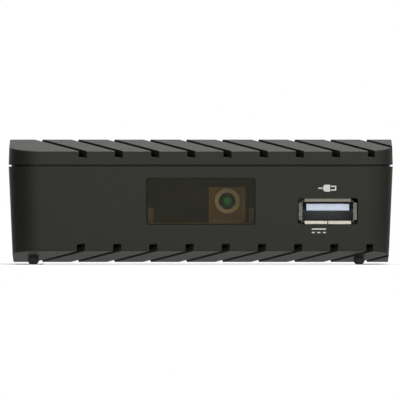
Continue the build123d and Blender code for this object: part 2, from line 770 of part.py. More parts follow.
# Rear panel
with BuildPart() as rear_panel:
    add(panel_slab(PANEL_GRIP, panel_inner, panel_outer))
    panel_cut = PANEL_THICK + 2 * OVERCUT
    cut_y = panel_inner - OVERCUT
    rod(rearward(input_x, cut_y, aerial_z), INPUT_OUTER / 2 + PORT_GAP, panel_cut, Mode.SUBTRACT)
    rod(rearward(output_x, cut_y, aerial_z), OUTPUT_SHOULDER / 2 + PORT_GAP, panel_cut, Mode.SUBTRACT)
    rod(rearward(JACK_X, cut_y, jack_z), JACK_BUSHING_OUTER / 2 + PORT_GAP, panel_cut, Mode.SUBTRACT)
    rod(rearward(power_x, cut_y, power_z), POWER_MOUTH / 2, panel_cut, Mode.SUBTRACT)
    with Locations((VIDEO_X, (panel_inner + panel_outer) / 2, video_z)):
        Box(VIDEO_WIDTH + 2 * PORT_GAP, panel_cut, VIDEO_HEIGHT + 2 * PORT_GAP, mode=Mode.SUBTRACT)
save(rear_panel.part, "rear_panel")

# Front window, flush in the front wall with a flange behind it
with BuildPart() as front_window:
    with BuildSketch(window_plane.offset(-WINDOW_SUNK)):
        lens_radius = WINDOW_RADIUS - WINDOW_GAP
        RectangleRounded(WINDOW_WIDTH - 2 * WINDOW_GAP, WINDOW_HEIGHT - 2 * WINDOW_GAP, lens_radius)
    extrude(amount=WINDOW_SUNK - wall_through)
    with BuildSketch(window_plane.offset(-wall_through)):
        RectangleRounded(WINDOW_WIDTH + 2 * WINDOW_FLANGE, WINDOW_HEIGHT + 2 * WINDOW_FLANGE, WINDOW_RADIUS)
    extrude(amount=-FLANGE_THICK)
save(front_window.part, "front_window")

# Feet: a ball with a flat sole, a stem through the skin and a head inside
for name, (x, y) in foot_places.items():
    sloping = y < y_crest
    inside = bottom_band(y) + BAND_SKIN if sloping else floor
    lean = FOOT_HEAD / 2 * bottom_slope if sloping else 0
    with BuildPart() as foot:
        with Locations((x, y, FOOT_CENTRE)):
            Sphere(FOOT_DIAMETER / 2)
        reach = FOOT_DIAMETER
        block((x - reach, y - reach, below), (x + reach, y + reach, 0), Mode.SUBTRACT)
        if sloping:
            skin = ((y_before, bottom_band(y_before)), (y_crest, bottom_crest))
        else:
            skin = ((y_crest, bottom_deck), (y_behind, bottom_deck))
        add(side_prism(skin + ((y_behind, above), (y_before, above))), mode=Mode.SUBTRACT)
        rod(upward(x, y, FOOT_DROP), FOOT_STEM / 2, inside + lean + FOOT_GAP - FOOT_DROP)
        rod(upward(x, y, inside + lean + FOOT_GAP), FOOT_HEAD / 2, FOOT_HEAD_THICK)
    save(foot.part, name)


def screw(plane, diameter, length, head, head_thick):
    """Pan head screw with a cross drive, its head seated on a plane and its shank along the normal."""
    with BuildPart() as body:
        rod(plane, diameter / 2, length)
        rod(plane.offset(-head_thick), head / 2, head_thick)
        rim = body.faces().filter_by(lambda face: face.normal_at().dot(plane.z_dir) < -0.99)
        fillet(rim.sort_by(SortBy.AREA)[-1].edges(), head_thick / 3)
        with Locations(plane.offset(-head_thick + DRIVE_DEPTH / 2)):
            Box(head / 2, DRIVE_SLOT, DRIVE_DEPTH, mode=Mode.SUBTRACT)
            Box(DRIVE_SLOT, head / 2, DRIVE_DEPTH, mode=Mode.SUBTRACT)
    return body.part


# Fasteners
with BuildPart() as case_screws:
    for x, y in screw_places:
        seat = upward(x, y, screw_seat)
        add(screw(seat, CASE_SCREW_DIAMETER, CASE_SCREW_LENGTH, CASE_SCREW_HEAD, CASE_SCREW_HEAD_THICK))
save(case_screws.part, "case_screws")

with BuildPart() as board_screws:
    for x, y in board_screw_places:
        seat = Plane((x, y, BOARD_TOP), x_dir=(1, 0, 0), z_dir=(0, 0, -1))
        add(screw(seat, BOARD_SCREW_DIAMETER, board_screw_length, BOARD_SCREW_HEAD, BOARD_SCREW_HEAD_THICK))
save(board_screws.part, "board_screws")


def lead_hole(x, y, width=LEAD_SIZE, depth=LEAD_SIZE):
    """Clearance hole through the board round a lead or a tab, cut from the piece being built."""
    with Locations((x, y, board_bottom + BOARD_THICK / 2)):
        Box(width + 2 * LEAD_GAP, depth + 2 * LEAD_GAP, BOARD_THICK, mode=Mode.SUBTRACT)


# Main board, with a hole for every lead, tab and terminal
with BuildPart() as main_board:
    block((-board_half, board_front, board_bottom), (board_half, board_rear, BOARD_TOP))
    fillet(main_board.edges().filter_by(Axis.Z).group_by(Axis.Y)[0], BOARD_CORNER)
    for x, y in screw_places:
        reach = column_radius + BOARD_NOTCH_GAP
        block((x - reach, y - reach, board_bottom), (x + reach, board_rear, BOARD_TOP), Mode.SUBTRACT)
    for x, y in board_screw_places:
        rod(upward(x, y, board_bottom), BOARD_SCREW_DIAMETER / 2 + SCREW_GAP, BOARD_THICK, Mode.SUBTRACT)
    for x in lamp_lead_x:
        lead_hole(x, lamp_lead_y)
    for x in receiver_lead_x:
        lead_hole(x, receiver_middle)
    for x in data_pin_x:
        lead_hole(x, data_pin_y)
    for x in data_tab_x:
        lead_hole(x, data_tab_y, DATA_SHEET, DATA_TAB_WIDTH)
    for x in video_tab_x:
        for y in video_tab_y:
            lead_hole(x, y, VIDEO_SHEET, VIDEO_TAB_WIDTH)
    for x in can_tab_x:
        for y in can_tab_y:
            lead_hole(x, y, CAN_SHEET, CAN_TAB_WIDTH)
    for x in jack_terminal_x:
        for y in jack_terminal_y:
            lead_hole(x, y, TERMINAL_THICK, TERMINAL_WIDTH)
    lead_hole(JACK_X, jack_front - TERMINAL_THICK / 2, TERMINAL_WIDTH, TERMINAL_THICK)
    for y in power_terminal_y:
        lead_hole(power_x, y, TERMINAL_WIDTH, TERMINAL_THICK)
save(main_board.part, "main_board")

# Lamp holder: a base strip with end tabs and a bored block, sloped at its foot and rimmed at its sides
with BuildPart() as lamp_holder:
    holder_rear = holder_front + HOLDER_BASE_DEPTH
    strip_top = BOARD_TOP + HOLDER_BASE_THICK
    tab_top = BOARD_TOP + HOLDER_TAB_HEIGHT
    rim_front = holder_front - HOLDER_RIM
    plinth_top = BOARD_TOP + HOLDER_PLINTH
    block_left = LAMP_X - HOLDER_BLOCK_WIDTH / 2
    block_right = LAMP_X + HOLDER_BLOCK_WIDTH / 2
    block_top = BOARD_TOP + HOLDER_BLOCK_HEIGHT
    block((HOLDER_LEFT, holder_front, BOARD_TOP), (HOLDER_RIGHT, holder_rear, strip_top))
    block((HOLDER_LEFT, holder_front, BOARD_TOP), (HOLDER_LEFT + HOLDER_TAB_WIDTH, holder_rear, tab_top))
    block((HOLDER_RIGHT - HOLDER_TAB_WIDTH, holder_front, BOARD_TOP), (HOLDER_RIGHT, holder_rear, tab_top))
    with BuildSketch(Plane.YZ.offset(LAMP_X)):
        with BuildLine():
            Polyline(
                (rim_front, BOARD_TOP),
                (holder_rear, BOARD_TOP),
                (holder_rear, plinth_top),
                (holder_front, plinth_top),
                close=True,
            )
        make_face()
    extrude(amount=HOLDER_BLOCK_WIDTH / 2, both=True)
    block((block_left, rim_front, BOARD_TOP), (block_left + HOLDER_CHEEK, holder_rear, block_top))
    block((block_right - HOLDER_CHEEK, rim_front, BOARD_TOP), (block_right, holder_rear, block_top))
    block((block_left, holder_front, BOARD_TOP), (block_right, holder_rear, block_top))
    rod(rearward(LAMP_X, holder_front, LAMP_Z), COLLAR_SPIGOT / 2 + FIT_GAP, HOLDER_BASE_DEPTH, Mode.SUBTRACT)
save(lamp_holder.part, "lamp_holder")

# Collar round the lamp, dished at its front and pushed into the block
with BuildPart() as lamp_collar:
    rod(rearward(LAMP_X, collar_front, LAMP_Z), COLLAR_OUTER / 2, COLLAR_REACH)
    rod(rearward(LAMP_X, holder_front, LAMP_Z), COLLAR_SPIGOT / 2, COLLAR_SPIGOT_LENGTH)
    bore = COLLAR_REACH + COLLAR_SPIGOT_LENGTH
    rod(rearward(LAMP_X, collar_front, LAMP_Z), COLLAR_BORE / 2, bore, Mode.SUBTRACT)
    fillet(lamp_collar.edges().group_by(Axis.Y)[0].sort_by(SortBy.LENGTH)[-1], COLLAR_ROUND)
    with Locations(rearward(LAMP_X, collar_front, LAMP_Z)):
        wide = COLLAR_OUTER / 2 - COLLAR_LAND
        inward = (Align.CENTER, Align.CENTER, Align.MIN)
        Cone(wide, COLLAR_BORE / 2, COLLAR_DISH, align=inward, mode=Mode.SUBTRACT)
save(lamp_collar.part, "lamp_collar")

with BuildPart() as status_lamp:
    rod(forward(LAMP_X, lamp_rear, LAMP_Z), LAMP_DIAMETER / 2, LAMP_LENGTH)
    fillet(status_lamp.edges().sort_by(Axis.Y)[0], LAMP_DIAMETER / 2 - LAMP_FLAT)
    rod(forward(LAMP_X, lamp_rear, LAMP_Z), LAMP_FLANGE / 2, LAMP_FLANGE_THICK)
save(status_lamp.part, "status_lamp")

with BuildPart() as lamp_leads:
    for x in lamp_lead_x:
        near = LEAD_SIZE / 2
        block((x - near, lamp_rear, LAMP_Z - near), (x + near, lamp_lead_y + near, LAMP_Z + near))
        block((x - near, lamp_lead_y - near, lead_end), (x + near, lamp_lead_y + near, LAMP_Z + near))
save(lamp_leads.part, "lamp_leads")

# Infrared receiver with a domed front
with BuildPart() as infrared_receiver:
    body_low = BOARD_TOP + RECEIVER_LIFT
    body_left = RECEIVER_X - RECEIVER_WIDTH / 2
    body_right = RECEIVER_X + RECEIVER_WIDTH / 2
    receiver_rear = receiver_front + RECEIVER_DEPTH
    block((body_left, receiver_front, body_low), (body_right, receiver_rear, body_low + RECEIVER_HEIGHT))
    with Locations((RECEIVER_X, receiver_front + RECEIVER_DOME_SUNK, body_low + RECEIVER_HEIGHT / 2)):
        Sphere(RECEIVER_DOME / 2)
save(infrared_receiver.part, "infrared_receiver")

with BuildPart() as receiver_leads:
    for x in receiver_lead_x:
        near = LEAD_SIZE / 2
        front = receiver_middle - near
        block((x - near, front, lead_end), (x + near, front + LEAD_SIZE, BOARD_TOP + RECEIVER_LIFT))
save(receiver_leads.part, "receiver_leads")

# Dark baffle that passes infrared and keeps the board from showing through the window
with BuildPart() as window_baffle:
    baffle_front = y_front + BAFFLE_Y
    low = (-BAFFLE_HALF_WIDTH, baffle_front, BOARD_TOP)
    block(low, (BAFFLE_HALF_WIDTH, baffle_front + BAFFLE_THICK, BOARD_TOP + BAFFLE_HEIGHT))
save(window_baffle.part, "window_baffle")

# Data socket: a folded tube, notched at its corners, with flared lips, spring fingers and board tabs
with BuildPart() as data_socket_shell:
    with BuildSketch(front_view(data_end)):
        with Locations((DATA_X, DATA_Z)):
            inner_fold = DATA_FOLD - DATA_SHEET
            RectangleRounded(2 * data_half_width, 2 * data_half_height, DATA_FOLD)
            RectangleRounded(DATA_OPENING_WIDTH, DATA_OPENING_HEIGHT, inner_fold, mode=Mode.SUBTRACT)
    extrude(amount=data_end - data_tube)
    for x in (-1, 1):
        for z in (-1, 1):
            corner = (DATA_X + x * data_half_width, data_tube, DATA_Z + z * data_half_height)
            with Locations(corner):
                across = 2 * data_half_width - DATA_LIP_TOP_LENGTH
                Box(across, 2 * DATA_NOTCH, 2 * data_half_height - DATA_LIP_SIDE_LENGTH, mode=Mode.SUBTRACT)
    for x in data_tab_x:
        with Locations((x, data_tab_y, (DATA_Z + lead_end) / 2)):
            Box(DATA_SHEET, DATA_TAB_WIDTH, DATA_Z - lead_end)
    for side in (-1, 1):
        root = DATA_Z + side * DATA_OPENING_HEIGHT / 2
        rim = DATA_Z + side * data_flare_height
        with BuildSketch(Plane.YZ.offset(DATA_X)):
            with BuildLine():
                Polyline(
                    (data_tube, root),
                    (data_mouth, rim),
                    (data_mouth + DATA_SHEET, rim),
                    (data_tube + DATA_SHEET, root),
                    close=True,
                )
            make_face()
        extrude(amount=DATA_LIP_TOP_LENGTH / 2, both=True)
        root = DATA_X + side * DATA_OPENING_WIDTH / 2
        rim = DATA_X + side * data_flare_width
        with BuildSketch(Plane.XY.offset(DATA_Z)):
            with BuildLine():
                Polyline(
                    (root, data_tube),
                    (rim, data_mouth),
                    (rim, data_mouth + DATA_SHEET),
                    (root, data_tube + DATA_SHEET),
                    close=True,
                )
            make_face()
        extrude(amount=DATA_LIP_SIDE_LENGTH / 2, both=True)
    with BuildSketch(Plane.XY.offset(DATA_Z - data_half_height)):
        with Locations((DATA_X, data_tube + DATA_FINGER_START + DATA_FINGER_LENGTH / 2)):
            with GridLocations(DATA_FINGER_SPREAD, 1, 2, 1):
                Rectangle(DATA_FINGER_WIDTH + 2 * DATA_FINGER_SLIT, DATA_FINGER_LENGTH)
        with Locations((DATA_X, data_tube + DATA_FINGER_START + (DATA_FINGER_LENGTH + DATA_FINGER_SLIT) / 2)):
            with GridLocations(DATA_FINGER_SPREAD, 1, 2, 1):
                Rectangle(DATA_FINGER_WIDTH, DATA_FINGER_LENGTH - DATA_FINGER_SLIT, mode=Mode.SUBTRACT)
    extrude(amount=2 * data_half_height, mode=Mode.SUBTRACT)
    with Locations((DATA_X, data_tube, DATA_Z - data_half_height)):
        Box(DATA_SEAM_SLIT, 2 * DATA_LENGTH, 2 * DATA_LIP_TOP_RISE, mode=Mode.SUBTRACT)
save(data_socket_shell.part, "data_socket_shell")

with BuildPart() as data_socket_tongue:
    tongue_left = DATA_X - DATA_TONGUE_WIDTH / 2
    tongue_right = DATA_X + DATA_TONGUE_WIDTH / 2
    tongue_high = tongue_low + DATA_TONGUE_THICK
    block((tongue_left, data_mouth + DATA_TONGUE_SUNK, tongue_low), (tongue_right, data_end, tongue_high))
    tip = data_socket_tongue.faces().sort_by(Axis.Y)[0]
    chamfer(tip.edges().sort_by(Axis.Z)[0], DATA_TONGUE_BEVEL)
    with BuildSketch(front_view(data_end)):
        with Locations((DATA_X, DATA_Z)):
            RectangleRounded(DATA_OPENING_WIDTH - 2 * FIT_GAP, DATA_OPENING_HEIGHT - 2 * FIT_GAP, inner_fold)
    extrude(amount=DATA_BLOCK_DEPTH)
    heel_left = DATA_X - DATA_OPENING_WIDTH / 2
    heel_right = DATA_X + DATA_OPENING_WIDTH / 2
    block((heel_left, data_end, BOARD_TOP), (heel_right, data_heel, DATA_Z + DATA_OPENING_HEIGHT / 2))
    for x in data_pin_x:
        channel = DATA_CONTACT_WIDTH / 2 + FIT_GAP
        low = (x - channel, data_contact_y - FIT_GAP, tongue_low - FIT_GAP)
        block(low, (x + channel, data_heel, data_contact_top + FIT_GAP), Mode.SUBTRACT)
save(data_socket_tongue.part, "data_socket_tongue")

with BuildPart() as data_socket_contacts:
    for x in data_pin_x:
        near = LEAD_SIZE / 2
        strip = DATA_CONTACT_WIDTH / 2
        block((x - strip, data_contact_y, tongue_low), (x + strip, data_pin_y + near, data_contact_top))
        block((x - near, data_pin_y - near, lead_end), (x + near, data_pin_y + near, data_contact_top))
save(data_socket_contacts.part, "data_socket_contacts")


def video_section(margin, start, end):
    """Block with the video socket's section, drawn in by margin, between two depths."""
    half = VIDEO_WIDTH / 2 - margin
    high = video_z + VIDEO_HEIGHT / 2 - margin
    low = video_z - VIDEO_HEIGHT / 2 + margin
    knee = video_z - VIDEO_HEIGHT / 2 + VIDEO_CHAMFER_Z
    offsets = ((half, high), (half, knee), (half - VIDEO_CHAMFER_X, low))
    corners = [(VIDEO_X + x, z) for x, z in offsets]
    corners += [(VIDEO_X - x, z) for x, z in reversed(offsets)]
    with BuildPart() as section:
        with BuildSketch(front_view(end)) as outline:
            with BuildLine():
                Polyline(*corners, close=True)
            make_face()
            fillet(outline.vertices(), VIDEO_FOLD - margin)
        extrude(amount=end - start)
    return section.part


# High-definition video socket
with BuildPart() as video_socket_shell:
    add(video_section(0, video_front, video_mouth))
    add(video_section(VIDEO_SHEET, video_front - OVERCUT, video_mouth + OVERCUT), mode=Mode.SUBTRACT)
    for x in video_tab_x:
        for y in video_tab_y:
            with Locations((x, y, (video_z + lead_end) / 2)):
                Box(VIDEO_SHEET, VIDEO_TAB_WIDTH, video_z - lead_end)
save(video_socket_shell.part, "video_socket_shell")

with BuildPart() as video_socket_tongue:
    add(video_section(VIDEO_SHEET + FIT_GAP, video_front, video_block))
    half = VIDEO_TONGUE_WIDTH / 2
    tongue_end = video_mouth - VIDEO_TONGUE_SUNK
    block((VIDEO_X - half, video_front, video_tongue_low), (VIDEO_X + half, tongue_end, video_tongue_high))
    half = VIDEO_WIDTH / 2 - VIDEO_CHAMFER_X - VIDEO_SHEET
    block((VIDEO_X - half, video_heel, BOARD_TOP), (VIDEO_X + half, video_front, video_z))
save(video_socket_tongue.part, "video_socket_tongue")

with BuildPart() as video_socket_contacts:
    with BuildSketch(Plane.XY.offset(video_tongue_high)):
        with Locations((VIDEO_X, video_block + VIDEO_CONTACT_LENGTH / 2)):
            with GridLocations(VIDEO_CONTACT_PITCH, 1, VIDEO_TOP_CONTACTS, 1):
                Rectangle(VIDEO_CONTACT_WIDTH, VIDEO_CONTACT_LENGTH)
    extrude(amount=VIDEO_CONTACT_THICK)
    with BuildSketch(Plane.XY.offset(video_tongue_low)):
        with Locations((VIDEO_X, video_block + VIDEO_CONTACT_LENGTH / 2)):
            with GridLocations(VIDEO_CONTACT_PITCH, 1, VIDEO_TOP_CONTACTS - 1, 1):
                Rectangle(VIDEO_CONTACT_WIDTH, VIDEO_CONTACT_LENGTH)
    extrude(amount=-VIDEO_CONTACT_THICK)
    with BuildSketch(Plane.XY.offset(BOARD_TOP)):
        with Locations((VIDEO_X, video_heel - VIDEO_TAIL / 2)):
            with GridLocations(VIDEO_CONTACT_PITCH, 1, VIDEO_TOP_CONTACTS, 1):
                Rectangle(VIDEO_CONTACT_WIDTH, VIDEO_TAIL)
    extrude(amount=VIDEO_CONTACT_THICK)
save(video_socket_contacts.part, "video_socket_contacts")

# Tuner module: a sheet metal can with a push-on lid and the tuner chip inside
with BuildPart() as tuner_can:
    block((can_left, can_front, BOARD_TOP), (can_right, can_rear, can_top - CAN_SHEET))
    block(
        (can_left + CAN_SHEET, can_front + CAN_SHEET, below),
        (can_right - CAN_SHEET, can_rear - CAN_SHEET, above),
        Mode.SUBTRACT,
    )
    for x in (input_x, output_x):
        rod(forward(x, can_rear, aerial_z), CAN_HOLE / 2, CAN_SHEET, Mode.SUBTRACT)
    for x in can_tab_x:
        for y in can_tab_y:
            with Locations((x, y, (aerial_z + lead_end) / 2)):
                Box(CAN_SHEET, CAN_TAB_WIDTH, aerial_z - lead_end)
save(tuner_can.part, "tuner_can")

with BuildPart() as tuner_lid:
    grow = CAN_LID_GAP + CAN_SHEET
    skirt_low = can_top - CAN_SHEET - CAN_LID_SKIRT
    block((can_left - grow, can_front - grow, skirt_low), (can_right + grow, can_rear, can_top))
    block(
        (can_left - CAN_LID_GAP, can_front - CAN_LID_GAP, below),
        (can_right + CAN_LID_GAP, y_rear, can_top - CAN_SHEET),
        Mode.SUBTRACT,
    )
save(tuner_lid.part, "tuner_lid")

with BuildPart() as tuner_chip:
    with Locations((aerial_middle, (can_front + can_rear) / 2, BOARD_TOP)):
        Box(TUNER_CHIP_SIZE, TUNER_CHIP_SIZE, TUNER_CHIP_THICK, align=(Align.CENTER, Align.CENTER, Align.MIN))
save(tuner_chip.part, "tuner_chip")

# Aerial input socket
with BuildPart() as aerial_in_shell:
    with Locations((input_x, can_rear + AERIAL_FLANGE_THICK / 2, aerial_z)):
        Box(AERIAL_FLANGE, AERIAL_FLANGE_THICK, AERIAL_FLANGE)
    rod(rearward(input_x, can_rear, aerial_z), INPUT_OUTER / 2, aerial_mouth - can_rear)
    rod(rearward(input_x, can_rear, aerial_z), INPUT_BORE / 2, aerial_mouth - can_rear, Mode.SUBTRACT)
save(aerial_in_shell.part, "aerial_in_shell")

with BuildPart() as aerial_in_insulator:
    rod(rearward(input_x, can_rear, aerial_z), INPUT_BORE / 2 - FIT_GAP, INSULATOR_THICK)
    rod(rearward(input_x, can_rear, aerial_z), INPUT_CORE_OUTER / 2, 2 * INSULATOR_THICK)
    rod(rearward(input_x, can_rear, aerial_z), INPUT_CONTACT_OUTER / 2 + FIT_GAP, y_behind, Mode.SUBTRACT)
save(aerial_in_insulator.part, "aerial_in_insulator")

with BuildPart() as aerial_in_contact:
    contact_end = aerial_mouth - INPUT_CONTACT_SUNK
    rod(rearward(input_x, can_rear, aerial_z), INPUT_CONTACT_OUTER / 2, contact_end - can_rear)
    rod(forward(input_x, can_rear, aerial_z), CONTACT_TAIL_DIAMETER / 2, CONTACT_TAIL)
    bore = contact_end - can_rear - INSULATOR_THICK
    rod(forward(input_x, contact_end, aerial_z), INPUT_CONTACT_BORE / 2, bore, Mode.SUBTRACT)
    with Locations((input_x, contact_end, aerial_z)):
        Box(INPUT_CONTACT_OUTER, 2 * INPUT_CONTACT_SLIT_DEPTH, INPUT_CONTACT_SLIT, mode=Mode.SUBTRACT)
save(aerial_in_contact.part, "aerial_in_contact")

# Aerial output socket
with BuildPart() as aerial_out_sleeve:
    with Locations((output_x, can_rear + AERIAL_FLANGE_THICK / 2, aerial_z)):
        Box(AERIAL_FLANGE, AERIAL_FLANGE_THICK, AERIAL_FLANGE)
    shoulder = panel_outer + OUTPUT_SHOULDER_PROUD
    rod(rearward(output_x, can_rear, aerial_z), OUTPUT_SHOULDER / 2, shoulder - can_rear)
    rod(rearward(output_x, can_rear, aerial_z), OUTPUT_OUTER / 2, aerial_mouth - can_rear)
    rod(rearward(output_x, can_rear, aerial_z), OUTPUT_BORE / 2, aerial_mouth - can_rear, Mode.SUBTRACT)
save(aerial_out_sleeve.part, "aerial_out_sleeve")

with BuildPart() as aerial_out_insulator:
    rod(rearward(output_x, can_rear, aerial_z), OUTPUT_BORE / 2 - FIT_GAP, INSULATOR_THICK)
    rod(rearward(output_x, can_rear, aerial_z), OUTPUT_PIN / 2 + FIT_GAP, INSULATOR_THICK, Mode.SUBTRACT)
save(aerial_out_insulator.part, "aerial_out_insulator")

with BuildPart() as aerial_out_pin:
    rod(rearward(output_x, can_rear, aerial_z), OUTPUT_PIN / 2, aerial_mouth - OUTPUT_PIN_SUNK - can_rear)
    fillet(aerial_out_pin.edges().sort_by(Axis.Y)[-1], OUTPUT_PIN / 3)
    rod(forward(output_x, can_rear, aerial_z), CONTACT_TAIL_DIAMETER / 2, CONTACT_TAIL)
save(aerial_out_pin.part, "aerial_out_pin")


def leaf_spring(x, start, root, bump, tip, bend):
    """Contact leaf with a flat root: heights of its lower face, bent by bend from root to bump."""
    rise_y = start + SPRING_ROOT
    bump_y = start + tip * SPRING_BUMP
    lower = ((start, root), (rise_y, root), (bump_y, root + bump), (start + tip, root + bump - bend))
    upper = tuple((y, z + SPRING_THICK) for y, z in reversed(lower))
    with BuildPart() as leaf:
        with BuildSketch(Plane.YZ.offset(x)):
            with BuildLine():
                Polyline(*(lower + upper), close=True)
            make_face()
        extrude(amount=SPRING_WIDTH / 2, both=True)
    return leaf.part


# Sound and picture jack
with BuildPart() as av_jack_body:
    half = JACK_WIDTH / 2
    block((JACK_X - half, jack_front, BOARD_TOP), (JACK_X + half, jack_rear, BOARD_TOP + JACK_HEIGHT))
    rod(forward(JACK_X, jack_rear, jack_z), JACK_BORE / 2, JACK_LENGTH - JACK_END_WALL, Mode.SUBTRACT)
    seat = JACK_BUSHING_OUTER / 2 + FIT_GAP
    rod(forward(JACK_X, jack_rear, jack_z), seat, JACK_BUSHING_SEAT, Mode.SUBTRACT)
    slot_end = jack_leaf + JACK_SPRING_LENGTH + SPRING_END_GAP
    ledge = (JACK_X - spring_slot, jack_front - OVERCUT, jack_leaf_z - SPRING_REST)
    block(ledge, (JACK_X + spring_slot, slot_end, above), Mode.SUBTRACT)
    pit = (JACK_X - spring_slot, jack_front + JACK_END_WALL, jack_z)
    block(pit, (JACK_X + spring_slot, slot_end, above), Mode.SUBTRACT)
save(av_jack_body.part, "av_jack_body")

with BuildPart() as av_jack_bushing:
    length = JACK_BUSHING_SEAT + JACK_BUSHING_REACH
    bushing_front = jack_rear - JACK_BUSHING_SEAT
    rod(rearward(JACK_X, bushing_front, jack_z), JACK_BUSHING_OUTER / 2, length)
    rod(rearward(JACK_X, bushing_front, jack_z), JACK_BUSHING_BORE / 2, length, Mode.SUBTRACT)
save(av_jack_bushing.part, "av_jack_bushing")

with BuildPart() as av_jack_spring:
    add(leaf_spring(JACK_X, jack_leaf, jack_leaf_z, -JACK_SPRING_DIP, JACK_SPRING_LENGTH, -SPRING_CURL))
save(av_jack_spring.part, "av_jack_spring")

with BuildPart() as av_jack_terminals:
    for x in jack_terminal_x:
        for y in jack_terminal_y:
            with Locations((x, y, (jack_z + lead_end) / 2)):
                Box(TERMINAL_THICK, TERMINAL_WIDTH, jack_z - lead_end)
    half = TERMINAL_WIDTH / 2
    terminal_top = jack_z + JACK_BORE / 2
    block((JACK_X - half, jack_front - TERMINAL_THICK, lead_end), (JACK_X + half, jack_front, terminal_top))
save(av_jack_terminals.part, "av_jack_terminals")

# Power jack
with BuildPart() as power_jack_body:
    half = POWER_WIDTH / 2
    block((power_x - half, power_front, BOARD_TOP), (power_x + half, power_rear, BOARD_TOP + POWER_HEIGHT))
    rod(forward(power_x, power_rear, power_z), POWER_BORE / 2, POWER_BORE_DEPTH, Mode.SUBTRACT)
    rod(forward(power_x, power_rear, power_z), POWER_PIN_TAIL / 2 + FIT_GAP, POWER_LENGTH, Mode.SUBTRACT)
    slot_end = power_leaf + POWER_SPRING_LENGTH + SPRING_END_GAP
    ledge = (power_x + spring_slot, slot_end, power_leaf_z + SPRING_THICK + SPRING_REST)
    block((power_x - spring_slot, power_front - OVERCUT, below), ledge, Mode.SUBTRACT)
    pit = (power_x - spring_slot, power_leaf + SPRING_ROOT, below)
    block(pit, (power_x + spring_slot, slot_end, power_z - POWER_PIN), Mode.SUBTRACT)
save(power_jack_body.part, "power_jack_body")

with BuildPart() as power_jack_pin:
    bore_end = power_rear - POWER_BORE_DEPTH
    rod(rearward(power_x, bore_end, power_z), POWER_PIN / 2, POWER_BORE_DEPTH - POWER_PIN_SUNK)
    fillet(power_jack_pin.edges().sort_by(Axis.Y)[-1], POWER_PIN / 4)
    rod(forward(power_x, bore_end, power_z), POWER_PIN_TAIL / 2, bore_end - power_front)
save(power_jack_pin.part, "power_jack_pin")

with BuildPart() as power_jack_spring:
    add(leaf_spring(power_x, power_leaf, power_leaf_z, POWER_SPRING_RISE, POWER_SPRING_LENGTH, SPRING_CURL))
save(power_jack_spring.part, "power_jack_spring")

with BuildPart() as power_jack_terminals:
    for y, top in zip(power_terminal_y, (power_z + POWER_PIN, power_leaf_z - SPRING_REST)):
        with Locations((power_x, y, (top + lead_end) / 2)):
            Box(TERMINAL_WIDTH, TERMINAL_THICK, top - lead_end)
save(power_jack_terminals.part, "power_jack_terminals")


def on_board(x, y, width, depth, height, lift=0.0):
    """Block standing on the board, its depth place measured from the case front."""
    with Locations((x, y_front + y, BOARD_TOP + lift)):
        Box(width, depth, height, align=(Align.CENTER, Align.CENTER, Align.MIN))


# System chip with its heat sink
with BuildPart() as system_chip:
    on_board(CHIP_X, CHIP_Y, CHIP_SIZE, CHIP_SIZE, CHIP_THICK)
save(system_chip.part, "system_chip")

with BuildPart() as thermal_pad:
    on_board(CHIP_X, CHIP_Y, PAD_SIZE, PAD_SIZE, PAD_THICK, CHIP_THICK)
save(thermal_pad.part, "thermal_pad")

with BuildPart() as heat_sink:
    on_board(CHIP_X, CHIP_Y, SINK_SIZE, SINK_SIZE, SINK_BASE, CHIP_THICK + PAD_THICK)
    fin_pitch = (SINK_SIZE - SINK_FIN) / (SINK_FINS - 1)
    for fin in range(SINK_FINS):
        x = CHIP_X + (fin - (SINK_FINS - 1) / 2) * fin_pitch
        on_board(x, CHIP_Y, SINK_FIN, SINK_SIZE, SINK_HEIGHT, CHIP_THICK + PAD_THICK)
save(heat_sink.part, "heat_sink")

# Memory, flash and voltage regulator, with the leads of the last two
with BuildPart() as memory_chip:
    on_board(MEMORY_X, MEMORY_Y, MEMORY_WIDTH, MEMORY_DEPTH, MEMORY_THICK)
save(memory_chip.part, "memory_chip")

with BuildPart() as flash_chip:
    on_board(FLASH_X, FLASH_Y, FLASH_SIZE, FLASH_SIZE, FLASH_THICK)
save(flash_chip.part, "flash_chip")

with BuildPart() as voltage_regulator:
    on_board(REGULATOR_X, REGULATOR_Y, REGULATOR_WIDTH, REGULATOR_DEPTH, REGULATOR_THICK)
save(voltage_regulator.part, "voltage_regulator")

with BuildPart() as chip_leads:
    for side in (-1, 1):
        x = FLASH_X + side * (FLASH_SIZE + FLASH_LEAD_REACH) / 2
        for lead in range(FLASH_LEADS):
            y = FLASH_Y + (lead - (FLASH_LEADS - 1) / 2) * FLASH_LEAD_PITCH
            on_board(x, y, FLASH_LEAD_REACH, FLASH_LEAD_WIDTH, FLASH_LEAD_THICK)
    reach = (REGULATOR_DEPTH + REGULATOR_TAB_REACH) / 2
    on_board(REGULATOR_X, REGULATOR_Y + reach, REGULATOR_TAB, REGULATOR_TAB_REACH, FLASH_LEAD_THICK)
    for leg in (-1, 0, 1):
        x = REGULATOR_X + leg * REGULATOR_LEG_PITCH
        on_board(x, REGULATOR_Y - reach, REGULATOR_LEG, REGULATOR_TAB_REACH, FLASH_LEAD_THICK)
save(chip_leads.part, "chip_leads")

# Crystal, capacitors, inductors and chip resistors
with BuildPart() as crystal:
    on_board(CRYSTAL_X, CRYSTAL_Y, CRYSTAL_WIDTH, CRYSTAL_LENGTH, CRYSTAL_HEIGHT)
    fillet(crystal.edges().filter_by(Axis.Z), CRYSTAL_ROUND)
save(crystal.part, "crystal")

